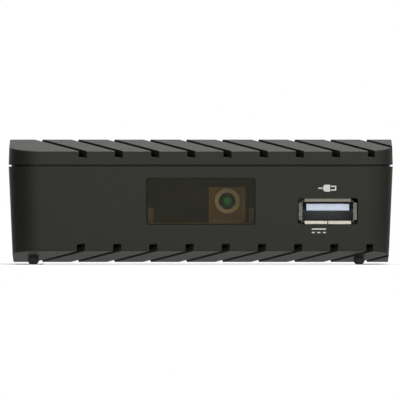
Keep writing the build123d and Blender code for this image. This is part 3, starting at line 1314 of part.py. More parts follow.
with BuildPart() as capacitors:
    for x, y in CAPACITOR_PLACES:
        foot = upward(x, y_front + y, BOARD_TOP)
        rod(foot, CAPACITOR_DIAMETER / 2, CAPACITOR_HEIGHT)
        bead = foot.offset(CAPACITOR_BEAD_HEIGHT)
        with Locations(bead):
            Torus(CAPACITOR_DIAMETER / 2, CAPACITOR_BEAD, mode=Mode.SUBTRACT)
save(capacitors.part, "capacitors")

with BuildPart() as power_inductors:
    for x, y in INDUCTOR_PLACES:
        on_board(x, y, INDUCTOR_SIZE, INDUCTOR_SIZE, INDUCTOR_HEIGHT)
    fillet(power_inductors.edges().filter_by(Axis.Z), INDUCTOR_ROUND)
save(power_inductors.part, "power_inductors")

with BuildPart() as chip_resistors:
    for column in range(RESISTOR_COLUMNS):
        for row in range(RESISTOR_ROWS):
            x = RESISTOR_X + column * RESISTOR_PITCH
            y = RESISTOR_Y + row * RESISTOR_PITCH
            on_board(x, y, RESISTOR_WIDTH, RESISTOR_LENGTH, RESISTOR_THICK)
save(chip_resistors.part, "chip_resistors")
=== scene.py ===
"""Looks of a small digital television tuner: finishes, printed marks and the studio it stands in."""

import math

import bmesh
import bpy
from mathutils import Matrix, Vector
from mathutils.bvhtree import BVHTree


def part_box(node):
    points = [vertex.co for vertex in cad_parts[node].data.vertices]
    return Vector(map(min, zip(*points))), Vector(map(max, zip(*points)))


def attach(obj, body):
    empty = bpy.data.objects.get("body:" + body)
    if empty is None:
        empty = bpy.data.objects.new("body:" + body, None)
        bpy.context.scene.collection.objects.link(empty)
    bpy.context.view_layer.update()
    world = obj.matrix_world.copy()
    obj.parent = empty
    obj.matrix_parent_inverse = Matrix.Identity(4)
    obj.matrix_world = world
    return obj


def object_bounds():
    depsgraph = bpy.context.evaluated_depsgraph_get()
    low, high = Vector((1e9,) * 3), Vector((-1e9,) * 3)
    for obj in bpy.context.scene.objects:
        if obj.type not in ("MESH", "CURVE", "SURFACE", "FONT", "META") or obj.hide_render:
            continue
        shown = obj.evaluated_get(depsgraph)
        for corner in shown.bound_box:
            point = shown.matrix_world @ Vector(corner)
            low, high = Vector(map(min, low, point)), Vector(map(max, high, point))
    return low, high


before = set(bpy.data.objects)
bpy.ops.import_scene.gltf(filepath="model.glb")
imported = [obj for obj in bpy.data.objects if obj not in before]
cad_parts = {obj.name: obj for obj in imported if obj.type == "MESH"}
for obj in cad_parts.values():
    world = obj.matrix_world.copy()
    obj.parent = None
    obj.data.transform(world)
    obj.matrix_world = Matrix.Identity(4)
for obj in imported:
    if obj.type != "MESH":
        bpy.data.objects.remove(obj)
CAD_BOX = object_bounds()

bl_info = {
    "name": "Digital Tuner Looks",
    "version": (1, 0, 0),
    "blender": (4, 5, 0),
    "location": "View3D > Sidebar > Tuner",
    "description": "Finishes, printed marks and studio for a small set-top box",
    "category": "Object",
}

MM = 0.001
WHITE = (1, 1, 1, 1)

# Grain of a finish: its octaves, how much the fine ones count, and the values that tone and gloss follow.
GRAIN_DETAIL = 3.0
GRAIN_BREAKUP = 0.6
GRAIN_RANGE = (0.3, 0.7)
# Rays cast to find gaps: for the painted shade in finishes, and for the case's shade on the card.
GAP_SAMPLES = 8

# Brightness of the surroundings in reflections, by how far a ray points to the back (1) or the front (-1).
BEHIND_TURN = (0.5, 1.0)
BEHIND_LEVEL = (0.08, 1.0)
BEFORE_TURN = (-0.6, -0.95)
BEFORE_LEVEL = (0.0, 0.65)

# Camera sensor in millimetres, its reach in metres, and each lamp's size and place in metres.
SENSOR_WIDTH = 36.0
CAMERA_REACH = (0.1, 20.0)
SOFTBOXES = {
    "key": (0.6, (0.42, -0.66, 0.72)),
    "top": (0.4, (0.0, 0.0, 0.85)),
    "side": (0.4, (0.75, -0.3, 0.25)),
}

# Floor card, in metres: where it turns white to the eye and where in reflections, and how bright it starts.
FLOOR_HALF = 3.0
CARD_FADE = (0.05, 0.12)
CARD_FADE_LEVEL = (0.4, 1.0)
CARD_NEAR = (0.055, 0.08)
CARD_NEAR_LEVEL = 0.46
CARD_FIBRE_MM = 3.0
# Reach of the shade that the case throws on the card, and the patch under the case that stays white.
SHADE_REACH = 4.0 * MM
PATCH_MIDDLE_Y = 2.0 * MM
PATCH_HALF_X = 39.0 * MM
PATCH_HALF_Y = 18.0 * MM

# Printed marks: steps round a dot, the share of the film that its underside clears the face by, and the
# places of the signs in millimetres.
ROUND_STEPS = 32
FILM_UNDERSIDE = 0.1
PLUG_SIGN_PLACE = (31.1, 18.81)
CURRENT_SIGN_PLACE = (29.05, 8.31)
REAR_SIGN_HEIGHT = 24.75


def linear(hex_colour):
    """Scene colour of an sRGB hex value, with full alpha."""
    parts = [int(hex_colour[i:i + 2], 16) / 255 for i in (1, 3, 5)]
    return tuple(c / 12.92 if c <= 0.04045 else ((c + 0.055) / 1.055) ** 2.4 for c in parts) + (1.0,)


def shade(colour, factor):
    """A colour made darker or lighter, with its alpha kept."""
    return tuple(min(1.0, c * factor) for c in colour[:3]) + (1.0,)


def per_metre(size_mm):
    """Texture scale at which one grain of the pattern has a size in millimetres."""
    return 1 / (size_mm * MM)


def add_node(tree, kind, inputs=None, **settings):
    """Add a node, set its options, and link or set its inputs."""
    node = tree.nodes.new(kind)
    for option, value in settings.items():
        setattr(node, option, value)
    for socket, value in (inputs or {}).items():
        if isinstance(value, bpy.types.NodeSocket):
            tree.links.new(value, node.inputs[socket])
        else:
            node.inputs[socket].default_value = value
    return node


def surface(
    name, colour, grain_mm, rough, tone=0.12, bump_mm=0.0, stretch=(1, 1, 1), painted_shade_mm=0.0, sockets=None
):
    """Material whose tone, gloss and relief follow one grain of a real size, longer where stretch is below 1.

    Gaps narrower than the depth get painted shade: their colour is drawn darker, as if no light found its way
    in.
    """
    material = bpy.data.materials.new(name)
    material.use_nodes = True
    tree = material.node_tree
    shader = tree.nodes["Principled BSDF"]
    for socket, value in (sockets or {}).items():
        shader.inputs[socket].default_value = value
    place = add_node(tree, "ShaderNodeTexCoord")
    run = add_node(tree, "ShaderNodeMapping", {"Vector": place.outputs["Object"], "Scale": stretch})
    grain = add_node(
        tree,
        "ShaderNodeTexNoise",
        {
            "Vector": run.outputs["Vector"],
            "Scale": per_metre(grain_mm),
            "Detail": GRAIN_DETAIL,
            "Roughness": GRAIN_BREAKUP,
        },
    )
    tones = add_node(tree, "ShaderNodeValToRGB", {"Fac": grain.outputs["Fac"]})
    for stop, spot, factor in zip(tones.color_ramp.elements, GRAIN_RANGE, (1 - tone, 1 + tone)):
        stop.position = spot
        stop.color = shade(colour, factor)
    gloss = add_node(
        tree,
        "ShaderNodeMapRange",
        {
            "Value": grain.outputs["Fac"],
            "From Min": GRAIN_RANGE[0],
            "From Max": GRAIN_RANGE[1],
            "To Min": rough[0],
            "To Max": rough[1],
        },
    )
    # Painted shade: where gaps are narrower than the depth, the colour is drawn darker.
    colours = tones
    if painted_shade_mm:
        colours = add_node(
            tree,
            "ShaderNodeAmbientOcclusion",
            {"Color": tones.outputs["Color"], "Distance": painted_shade_mm * MM},
            samples=GAP_SAMPLES,
        )
    tree.links.new(colours.outputs["Color"], shader.inputs["Base Color"])
    tree.links.new(gloss.outputs["Result"], shader.inputs["Roughness"])
    if bump_mm:
        relief = add_node(
            tree, "ShaderNodeBump", {"Height": grain.outputs["Fac"], "Distance": bump_mm * MM}
        )
        tree.links.new(relief.outputs["Normal"], shader.inputs["Normal"])
    return material


def finish(material, *nodes):
    """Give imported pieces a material."""
    for node in nodes:
        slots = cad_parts[node].data.materials
        slots.clear()
        slots.append(material)


def reflected_level(tree, direction):
    """Brightness of the surroundings in reflections: white behind, less by the camera, dim at the sides."""
    towards = add_node(tree, "ShaderNodeSeparateXYZ", {"Vector": direction})
    behind = add_node(
        tree,
        "ShaderNodeMapRange",
        {
            "Value": towards.outputs["Y"],
            "From Min": BEHIND_TURN[0],
            "From Max": BEHIND_TURN[1],
            "To Min": BEHIND_LEVEL[0],
            "To Max": BEHIND_LEVEL[1],
        },
        interpolation_type="SMOOTHSTEP",
    )
    before = add_node(
        tree,
        "ShaderNodeMapRange",
        {
            "Value": towards.outputs["Y"],
            "From Min": BEFORE_TURN[0],
            "From Max": BEFORE_TURN[1],
            "To Min": BEFORE_LEVEL[0],
            "To Max": BEFORE_LEVEL[1],
        },
        interpolation_type="SMOOTHSTEP",
    )
    level = add_node(
        tree,
        "ShaderNodeMath",
        {0: behind.outputs["Result"], 1: before.outputs["Result"]},
        operation="MAXIMUM",
    )
    return level.outputs[0]


def aim_camera(scene, stage):
    """Stand a long lens level in front of the case, far enough off to see the view's width."""
    camera = bpy.data.cameras.new("camera")
    camera.sensor_width = SENSOR_WIDTH
    camera.lens = SENSOR_WIDTH / 2 / math.tan(stage.half_angle)
    camera.clip_start, camera.clip_end = CAMERA_REACH
    viewer = bpy.data.objects.new("camera", camera)
    distance = stage.view_width / 2 / math.tan(stage.half_angle)
    viewer.location = (stage.aim_x, CAD_BOX[0][1] - distance, stage.aim_z)
    viewer.rotation_euler = (math.pi / 2, 0, 0)
    scene.collection.objects.link(viewer)
    scene.camera = viewer


def hang_softboxes(scene, stage):
    """Hang square soft lamps that face the middle of the floor and that the camera doesn't see."""
    for name, (size, place) in SOFTBOXES.items():
        light = bpy.data.lights.new(f"{name}_softbox", "AREA")
        light.energy = getattr(stage, name)
        light.size = size
        lamp = bpy.data.objects.new(f"{name}_softbox", light)
        lamp.location = place
        lamp.rotation_euler = (-Vector(place)).to_track_quat("-Z", "Y").to_euler()
        lamp.visible_camera = False
        scene.collection.objects.link(lamp)


def white_surroundings(stage):
    """World lit evenly and low, and white where the camera or clear plastic looks at it."""
    world = bpy.data.worlds.new("studio")
    world.use_nodes = True
    tree = world.node_tree
    tree.nodes.clear()
    path = add_node(tree, "ShaderNodeLightPath")
    place = add_node(tree, "ShaderNodeTexCoord")
    level = reflected_level(tree, place.outputs["Generated"])
    even = add_node(tree, "ShaderNodeBackground", {"Strength": stage.ambient, "Color": WHITE})
    sweep = add_node(tree, "ShaderNodeBackground", {"Strength": level, "Color": WHITE})
    white = add_node(tree, "ShaderNodeBackground", {"Strength": 1.0, "Color": WHITE})
    seen = add_node(
        tree,
        "ShaderNodeMath",
        {0: path.outputs["Is Camera Ray"], 1: path.outputs["Is Transmission Ray"]},
        operation="MAXIMUM",
    )
    gloss = add_node(
        tree,
        "ShaderNodeMixShader",
        {0: path.outputs["Is Glossy Ray"], 1: even.outputs[0], 2: sweep.outputs[0]},
    )
    backdrop = add_node(
        tree, "ShaderNodeMixShader", {0: seen.outputs[0], 1: gloss.outputs[0], 2: white.outputs[0]}
    )
    add_node(tree, "ShaderNodeOutputWorld", {"Surface": backdrop.outputs[0]})
    return world


def white_card():
    """Painted white card: matt and pale by the case, where it takes the shadow, and pure white far off."""
    card = bpy.data.materials.new("white_card")
    card.use_nodes = True
    tree = card.node_tree
    tree.nodes.clear()
    path = add_node(tree, "ShaderNodeLightPath")
    place = add_node(tree, "ShaderNodeTexCoord")
    reach = add_node(tree, "ShaderNodeVectorMath", {0: place.outputs["Object"]}, operation="LENGTH")
    fade = add_node(
        tree,
        "ShaderNodeMapRange",
        {
            "Value": reach.outputs["Value"],
            "From Min": CARD_FADE[0],
            "From Max": CARD_FADE[1],
            "To Min": CARD_FADE_LEVEL[0],
            "To Max": CARD_FADE_LEVEL[1],
        },
        interpolation_type="SMOOTHSTEP",
    )
    # The front band shades the card, and the card stays white under the deck, where it only shows edge on.
    under = add_node(tree, "ShaderNodeAmbientOcclusion", {"Distance": SHADE_REACH}, samples=GAP_SAMPLES)
    shaded = add_node(
        tree, "ShaderNodeMath", {0: fade.outputs["Result"], 1: under.outputs["AO"]}, operation="MULTIPLY"
    )
    spot = add_node(tree, "ShaderNodeSeparateXYZ", {"Vector": place.outputs["Object"]})
    across = add_node(
        tree, "ShaderNodeMath", {0: spot.outputs["X"], 1: 0.0, 2: PATCH_HALF_X}, operation="COMPARE"
    )
    along = add_node(
        tree,
        "ShaderNodeMath",
        {0: spot.outputs["Y"], 1: PATCH_MIDDLE_Y, 2: PATCH_HALF_Y},
        operation="COMPARE",
    )
    patch = add_node(
        tree, "ShaderNodeMath", {0: across.outputs[0], 1: along.outputs[0]}, operation="MULTIPLY"
    )
    pale = add_node(
        tree, "ShaderNodeMath", {0: shaded.outputs[0], 1: patch.outputs[0]}, operation="MAXIMUM"
    )
    seen = add_node(
        tree,
        "ShaderNodeMath",
        {0: path.outputs["Is Camera Ray"], 1: pale.outputs[0]},
        operation="MULTIPLY",
    )
    mirrored = add_node(
        tree,
        "ShaderNodeMath",
        {0: path.outputs["Is Glossy Ray"], 1: path.outputs["Is Transmission Ray"]},
        operation="MAXIMUM",
    )
    share = add_node(
        tree, "ShaderNodeMath", {0: seen.outputs[0], 1: mirrored.outputs[0]}, operation="MAXIMUM"
    )
    fibre = add_node(
        tree,
        "ShaderNodeTexNoise",
        {
            "Vector": place.outputs["Object"],
            "Scale": per_metre(CARD_FIBRE_MM),
            "Detail": GRAIN_DETAIL,
        },
    )
    tones = add_node(tree, "ShaderNodeValToRGB", {"Fac": fibre.outputs["Fac"]})
    tones.color_ramp.elements[0].color = linear("#F0F0EE")
    tones.color_ramp.elements[1].color = linear("#F8F8F6")
    matt = add_node(tree, "ShaderNodeBsdfDiffuse", {"Color": tones.outputs["Color"]})
    # In reflections the card is dim by the case, and further off as bright as the surroundings there.
    away = add_node(
        tree, "ShaderNodeVectorMath", {0: place.outputs["Object"]}, operation="NORMALIZE"
    )
    near = add_node(
        tree,
        "ShaderNodeMapRange",
        {"Value": reach.outputs["Value"], "From Min": CARD_NEAR[0], "From Max": CARD_NEAR[1]},
        interpolation_type="SMOOTHSTEP",
    )
    reflected = add_node(
        tree,
        "ShaderNodeMix",
        {
            "Factor": near.outputs["Result"],
            "A": CARD_NEAR_LEVEL,
            "B": reflected_level(tree, away.outputs["Vector"]),
        },
    )
    level = add_node(
        tree,
        "ShaderNodeMath",
        {0: reflected.outputs[0], 1: path.outputs["Is Camera Ray"]},
        operation="MAXIMUM",
    )
    bright = add_node(tree, "ShaderNodeEmission", {"Strength": level.outputs[0]})
    both = add_node(
        tree, "ShaderNodeMixShader", {0: share.outputs[0], 1: matt.outputs[0], 2: bright.outputs[0]}
    )
    add_node(tree, "ShaderNodeOutputMaterial", {"Surface": both.outputs[0]})
    return card


def lay_floor(scene, card):
    """Lay a square of card under the case."""
    corners = [(FLOOR_HALF * x, FLOOR_HALF * y, 0) for x, y in ((-1, -1), (1, -1), (1, 1), (-1, 1))]
    ground = bpy.data.meshes.new("floor")
    ground.from_pydata(corners, [], [(0, 1, 2, 3)])
    ground.materials.append(card)
    floor = bpy.data.objects.new("floor", ground)
    scene.collection.objects.link(floor)


def bar(left, low, right, high):
    """Outline of an upright bar, in millimetres."""
    return [(left, low), (right, low), (right, high), (left, high)]


def disc(radius):
    """Outline of a round dot about the origin, in millimetres."""
    turns = [2 * math.pi * step / ROUND_STEPS for step in range(ROUND_STEPS)]
    return [(radius * math.cos(turn), radius * math.sin(turn)) for turn in turns]


def moved(outline, across, up):
    """An outline shifted in its plane."""
    return [(u + across, v + up) for u, v in outline]


def current_sign(line):
    """Direct-current sign: a bar over three dashes."""
    dashes = [(bar(left, -0.55, left + 0.75, line - 0.55), None) for left in (-1.75, -0.375, 1.0)]
    return [(bar(-1.75, 0.3, 1.75, 0.3 + line), None)] + dashes


def printing_ink(marks):
    """Screen-printed ink: a thin matt film, slightly uneven where the mesh laid it down."""
    made = bpy.data.materials.get("ink_screen_printed")
    return made or surface(
        "ink_screen_printed", marks.ink, grain_mm=0.12, rough=(0.5, 0.65), tone=0.06, bump_mm=0.003,
        sockets={"IOR": 1.5},
    )


def print_mark(name, carrier, facing, centre, shapes, film, ink):
    """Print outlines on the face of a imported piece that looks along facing, as a thin film of ink.

    A shape is an outer outline and an inner one, or None for a filled shape.
    """
    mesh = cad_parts[carrier].data
    skin = BVHTree.FromPolygons([v.co for v in mesh.vertices], [p.vertices for p in mesh.polygons])
    outward = Vector((0, facing, 0))
    across = -facing
    bm = bmesh.new()
    for outer, inner in shapes:
        loops = []
        for outline in (outer, inner):
            if outline is None:
                continue
            for lift in (film * FILM_UNDERSIDE, film):
                loop = []
                for u, v in outline:
                    start = Vector(((centre[0] + across * u) * MM, facing, (centre[1] + v) * MM))
                    spot, normal, _, _ = skin.ray_cast(start, -outward)
                    if spot is None:
                        raise RuntimeError(f"{name} hangs over the edge of {carrier}")
                    loop.append(bm.verts.new(spot + normal * lift))
                loops.append(loop)
        count = len(outer)
        for step in range(count):
            turn = (step + 1) % count
            for low, high in zip(loops[::2], loops[1::2]):
                bm.faces.new((low[step], low[turn], high[turn], high[step]))
            if inner is not None:
                for near, far in zip(loops[:2], loops[2:]):
                    bm.faces.new((near[step], near[turn], far[turn], far[step]))
        if inner is None:
            bm.faces.new(loops[0])
            bm.faces.new(loops[1])
    bmesh.ops.recalc_face_normals(bm, faces=bm.faces)
    printed = bpy.data.meshes.new(name)
    bm.to_mesh(printed)
    bm.free()
    printed.materials.append(ink)
    piece = bpy.data.objects.new(name, printed)
    bpy.context.scene.collection.objects.link(piece)
    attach(piece, "case")


def length_property(name, description, size_mm):
    """A length that a user can change, given in millimetres."""
    return bpy.props.FloatProperty(
        name=name, description=description, default=size_mm * MM, unit="LENGTH", precision=5
    )


def colour_property(name, description, hex_colour):
    """A colour that a user can change, given as an sRGB hex value."""
    return bpy.props.FloatVectorProperty(
        name=name, description=description, default=linear(hex_colour), size=4, subtype="COLOR",
        min=0.0, max=1.0,
    )


def power_property(name, description, watts):
    """A lamp's power that a user can change, given in watts."""
    return bpy.props.FloatProperty(name=name, description=description, default=watts, unit="POWER")


class TunerFinishes(bpy.types.PropertyGroup):
    case: colour_property("Case", "Warm black of the moulded case", "#1B1C12")
    texture: length_property("Case texture", "Size of one grain of the case's matt texture", 0.32)
    window: colour_property("Window", "Tint of the smoked front window", "#262613")
    smoke: bpy.props.FloatProperty(
        name="Smoke", description="Share of the light that each face of the window stops", default=0.42,
        min=0.0, max=1.0, subtype="FACTOR",
    )
    holder: colour_property("Lamp holder", "Brown of the lamp holder", "#AC7F3E")
    # The collar's pale beige is painted light: the holder's brown drawn paler, as the collar near the window
    # catches more light.
    collar: colour_property("Lamp collar", "Pale beige of the collar round the lamp", "#F6D38C")
    lamp: colour_property("Lamp", "Green of the status lamp", "#12FF62")
    tongue: colour_property("Socket tongue", "Cool white of the front socket's tongue", "#D5E0F2")
    board: colour_property("Board", "Green of the board's solder resist", "#1F5B36")
    feet: colour_property("Feet", "Dark grey of the rubber feet", "#4A4A47")


class TunerMarks(bpy.types.PropertyGroup):
    ink: colour_property("Ink", "White of the printed marks", "#C9CAC6")
    film: length_property("Ink film", "Thickness of the printed ink", 0.02)
    stroke: length_property("Stroke", "Width of a printed line", 0.3)


class TunerStage(bpy.types.PropertyGroup):
    view_width: length_property("View width", "Width of the frame at the front of the case", 98.31)
    aim_x: length_property("Aim across", "Where the camera looks across the front", -0.18)
    aim_z: length_property("Aim height", "Height at which the camera looks at the front", 15.9)
    half_angle: bpy.props.FloatProperty(
        name="Half angle", description="Half of the camera's field of view", default=math.radians(0.68),
        subtype="ANGLE",
    )
    key: power_property("Key", "Power of the lamp by the camera", 5.4)
    top: power_property("Top", "Power of the lamp overhead", 6.0)
    side: power_property("Side", "Power of the lamp at the right", 0.7)
    ambient: bpy.props.FloatProperty(
        name="Ambient", description="Level of the light from all round", default=0.2, min=0.0, max=1.0
    )


class TUNER_OT_stage(bpy.types.Operator):
    """Set up the camera, the soft lamps, the white surroundings and the floor"""

    bl_idname = "tuner.stage"
    bl_label = "Studio"

    def execute(self, context):
        scene = context.scene
        stage = scene.tuner_stage
        scene.view_settings.view_transform = "Standard"
        aim_camera(scene, stage)
        hang_softboxes(scene, stage)
        scene.world = white_surroundings(stage)
        lay_floor(scene, white_card())
        return {"FINISHED"}


class TUNER_OT_case(bpy.types.Operator):
    """Give the cover, the tub and the rear panel their moulded texture"""

    bl_idname = "tuner.case"
    bl_label = "Case"

    def execute(self, context):
        finishes = context.scene.tuner_finishes
        # ABS, moulded in a spark-eroded tool: a dry, fine-grained black that shines where light skims it.
        # The real grain is under 0.1 mm; it is drawn coarser so that it shows.
        # Slots, notches and gaps in the case get painted shade: within 2.5 mm of other surfaces their colour
        # is drawn darker.
        plastic = surface(
            "abs_moulded_spark_eroded", finishes.case, grain_mm=finishes.texture / MM, rough=(0.44, 0.58),
            tone=0.15, bump_mm=0.035, painted_shade_mm=2.5, sockets={"IOR": 1.53},
        )
        finish(plastic, "top_cover", "bottom_tub", "rear_panel")
        return {"FINISHED"}


class TUNER_OT_window(bpy.types.Operator):
    """Make the front window smoked and clear"""

    bl_idname = "tuner.window"
    bl_label = "Window"

    def execute(self, context):
        finishes = context.scene.tuner_finishes
        # Smoked acrylic, moulded and polished: smooth and dark, with the lamp holder just showing through.
        acrylic = surface(
            "acrylic_smoked_polished", finishes.window, grain_mm=9.0, rough=(0.06, 0.10), tone=0.1,
            sockets={"IOR": 1.49, "Alpha": finishes.smoke},
        )
        finish(acrylic, "front_window")
        return {"FINISHED"}


class TUNER_OT_feet(bpy.types.Operator):
    """Finish the feet and the screws"""

    bl_idname = "tuner.feet"
    bl_label = "Feet and screws"

    def execute(self, context):
        finishes = context.scene.tuner_finishes
        # Neoprene rubber, moulded: dull, slightly dusty black.
        rubber = surface(
            "neoprene_moulded", finishes.feet, grain_mm=0.4, rough=(0.55, 0.75), tone=0.2, bump_mm=0.01,
            sockets={"IOR": 1.52},
        )
        finish(rubber, "foot_front_left", "foot_front_right", "foot_rear_left", "foot_rear_right")
        # Steel, cold-headed and zinc-plated: grey with a soft, patchy shine.
        zinc = surface(
            "steel_zinc_plated", linear("#A9ABAE"), grain_mm=0.6, rough=(0.28, 0.45), tone=0.1,
            bump_mm=0.004, sockets={"Metallic": 1.0},
        )
        finish(zinc, "case_screws", "board_screws")
        return {"FINISHED"}


class TUNER_OT_lamp(bpy.types.Operator):
    """Finish the lamp holder, the lamp and the infrared receiver behind the window"""

    bl_idname = "tuner.lamp"
    bl_label = "Lamp and receiver"

    def execute(self, context):
        finishes = context.scene.tuner_finishes
        # Polyamide, moulded in brown: satin, with faint flow clouds.
        brown = surface(
            "polyamide_moulded_brown", finishes.holder, grain_mm=2.5, rough=(0.42, 0.55), tone=0.06,
            bump_mm=0.01, sockets={"IOR": 1.53},
        )
        finish(brown, "lamp_holder")
        # Polyamide, the same as the holder's, with painted light: its brown is drawn paler, as the collar
        # near the window catches more light. The same satin, lighter.
        beige = surface(
            "polyamide_moulded_beige", finishes.collar, grain_mm=1.5, rough=(0.4, 0.5), tone=0.05,
            bump_mm=0.006, sockets={"IOR": 1.53},
        )
        finish(beige, "lamp_collar")
        # Epoxy, cast and tinted green: clear enough to glow at its core. Near the collar round it, its colour
        # is drawn darker: painted shade.
        epoxy = surface(
            "epoxy_cast_green", finishes.lamp, grain_mm=1.2, rough=(0.16, 0.24), tone=0.15, painted_shade_mm=1.6,
            sockets={"IOR": 1.55, "Transmission Weight": 0.25},
        )
        finish(epoxy, "status_lamp")
        # A black matt sheet with the gloss of polycarbonate stands behind the window as painted shade for the
        # dark inside of the case: an even black, hardly any shine.
        sheet = surface(
            "polycarbonate_extruded_matt", linear("#1B1B17"), grain_mm=6.0, rough=(0.72, 0.8), tone=0.05,
            stretch=(1, 1, 0.3), sockets={"IOR": 1.58, "Specular IOR Level": 0.1},
        )
        finish(sheet, "window_baffle")
        # Epoxy that passes infrared, transfer-moulded: glossy purple-black.
        dark_epoxy = surface(
            "epoxy_moulded_infrared", linear("#1B161A"), grain_mm=0.8, rough=(0.18, 0.3), tone=0.2,
            sockets={"IOR": 1.55},
        )
        finish(dark_epoxy, "infrared_receiver")
        # Copper wire, drawn and tinned: bright grey with fine lines along the wire.
        tinned = surface(
            "copper_tinned_drawn", linear("#C4C4C0"), grain_mm=0.15, rough=(0.25, 0.4), tone=0.1,
            stretch=(1, 1, 0.15), sockets={"Metallic": 1.0},
        )
        finish(tinned, "lamp_leads", "receiver_leads", "chip_leads")
        finish(tinned, "av_jack_terminals", "power_jack_terminals")
        return {"FINISHED"}


class TUNER_OT_sockets(bpy.types.Operator):
    """Finish the front socket, the rear sockets and both jacks"""

    bl_idname = "tuner.sockets"
    bl_label = "Sockets"

    def execute(self, context):
        finishes = context.scene.tuner_finishes
        # Steel sheet, stamped and tin-plated: bright, a little warm, with rolling lines along the sheet.
        # Deep in the sockets the tin gets painted shade: within 4 mm of other parts its colour is drawn
        # darker.
        tin = surface(
            "steel_sheet_tin_plated", linear("#C4BDB0"), grain_mm=0.8, rough=(0.24, 0.34), tone=0.06,
            stretch=(0.1, 1, 1), painted_shade_mm=4.0, sockets={"Metallic": 1.0},
        )
        finish(tin, "data_socket_shell", "video_socket_shell", "tuner_can", "tuner_lid")
        # Brass, turned and nickel-plated: warm satin grey with fine turning marks.
        nickel = surface(
            "brass_nickel_plated", linear("#B9B2A6"), grain_mm=0.25, rough=(0.3, 0.42), tone=0.08,
            bump_mm=0.003, stretch=(0.25, 1, 0.25), sockets={"Metallic": 1.0},
        )
        finish(nickel, "aerial_in_shell", "aerial_out_sleeve", "aerial_out_pin", "power_jack_pin", "crystal")
        # Phosphor bronze, stamped and gold-flashed: thin warm gold over fine rolling lines.
        gilt = surface(
            "bronze_gold_flashed", linear("#D9B05C"), grain_mm=0.3, rough=(0.2, 0.32), tone=0.12,
            stretch=(1, 0.2, 1), sockets={"Metallic": 1.0},
        )
        finish(gilt, "data_socket_contacts", "video_socket_contacts", "aerial_in_contact")
        finish(gilt, "av_jack_spring", "power_jack_spring")
        # Polyester, moulded in white: smooth, cool and faintly glossy.
        # Deep in the front socket the white tongue gets painted shade: within 4 mm of other parts its colour
        # is drawn darker.
        white = surface(
            "polyester_moulded_white", finishes.tongue, grain_mm=1.5, rough=(0.3, 0.42), tone=0.04,
            bump_mm=0.004, painted_shade_mm=4.0, sockets={"IOR": 1.55},
        )
        finish(white, "data_socket_tongue")
        # Polyethylene, moulded in natural white: waxy and milky.
        milky = surface(
            "polyethylene_moulded_natural", linear("#E4E4DE"), grain_mm=1.2, rough=(0.4, 0.52), tone=0.05,
            bump_mm=0.006, sockets={"IOR": 1.51},
        )
        finish(milky, "aerial_in_insulator", "aerial_out_insulator")
        # Polyester, moulded in black: satin, smoother than the case.
        black = surface(
            "polyester_moulded_black", linear("#1D1D1E"), grain_mm=0.7, rough=(0.38, 0.5), tone=0.15,
            bump_mm=0.006, sockets={"IOR": 1.55},
        )
        finish(black, "video_socket_tongue", "av_jack_body", "power_jack_body")
        # Polyamide, moulded in yellow: the usual colour for a picture socket, satin.
        yellow = surface(
            "polyamide_moulded_yellow", linear("#DDB32A"), grain_mm=0.9, rough=(0.35, 0.48), tone=0.08,
            bump_mm=0.006, sockets={"IOR": 1.53},
        )
        finish(yellow, "av_jack_bushing")
        return {"FINISHED"}


class TUNER_OT_board(bpy.types.Operator):
    """Finish the board and the parts on it"""

    bl_idname = "tuner.board"
    bl_label = "Board"

    def execute(self, context):
        finishes = context.scene.tuner_finishes
        # Glass epoxy board under solder resist: glossy green, paler where copper tracks run under it.
        resist = surface(
            "glass_epoxy_solder_resist", finishes.board, grain_mm=1.1, rough=(0.25, 0.4), tone=0.1,
            sockets={"IOR": 1.5},
        )
        tree = resist.node_tree
        place = add_node(tree, "ShaderNodeTexCoord")
        # With this scale the sizes of the tracks are in millimetres.
        tracks = add_node(
            tree,
            "ShaderNodeTexBrick",
            {
                "Vector": place.outputs["Object"],
                "Scale": per_metre(1.0),
                "Brick Width": 7.0,
                "Row Height": 1.27,
                "Mortar Size": 0.16,
                "Color1": shade(finishes.board, 0.9),
                "Color2": shade(finishes.board, 1.05),
                "Mortar": shade(finishes.board, 1.8),
            },
        )
        shader = tree.nodes["Principled BSDF"]
        tree.links.new(tracks.outputs["Color"], shader.inputs["Base Color"])
        relief = add_node(
            tree, "ShaderNodeBump", {"Height": tracks.outputs["Fac"], "Distance": 0.03 * MM}
        )
        tree.links.new(relief.outputs["Normal"], shader.inputs["Normal"])
        finish(resist, "main_board")
        # Epoxy moulding compound, ground matt: dark grey with a fine filler speckle.
        compound = surface(
            "epoxy_compound_matt", linear("#26272A"), grain_mm=0.25, rough=(0.5, 0.68), tone=0.25,
            bump_mm=0.008, sockets={"IOR": 1.55},
        )
        finish(compound, "system_chip", "memory_chip", "flash_chip", "voltage_regulator", "tuner_chip")
        # Silicone pad, calendered: soft blue-grey, quite dull.
        silicone = surface(
            "silicone_calendered", linear("#9AA8B8"), grain_mm=0.5, rough=(0.7, 0.85),
            sockets={"IOR": 1.41},
        )
        finish(silicone, "thermal_pad")
        # Aluminium, extruded: pale with draw lines along the fins.
        extruded = surface(
            "aluminium_extruded", linear("#B9BBBE"), grain_mm=0.3, rough=(0.3, 0.48), tone=0.12,
            bump_mm=0.006, stretch=(1, 0.06, 1), sockets={"Metallic": 1.0},
        )
        finish(extruded, "heat_sink")
        # Aluminium, deep drawn: pale with faint lines up the can.
        drawn = surface(
            "aluminium_deep_drawn", linear("#BFC0C2"), grain_mm=0.3, rough=(0.22, 0.36), tone=0.1,
            stretch=(1, 1, 0.1), sockets={"Metallic": 1.0},
        )
        finish(drawn, "capacitors")
        # Ferrite, pressed and fired: charcoal with a gritty face.
        fired = surface(
            "ferrite_fired", linear("#2E2F31"), grain_mm=0.3, rough=(0.55, 0.75), tone=0.3, bump_mm=0.015,
            sockets={"IOR": 2.2},
        )
        finish(fired, "power_inductors")
        # Alumina with a fired resistive film: near black, glassy.
        film = surface(
            "alumina_fired_film", linear("#232226"), grain_mm=0.4, rough=(0.2, 0.4), tone=0.3,
            sockets={"IOR": 1.6},
        )
        finish(film, "chip_resistors")
        return {"FINISHED"}


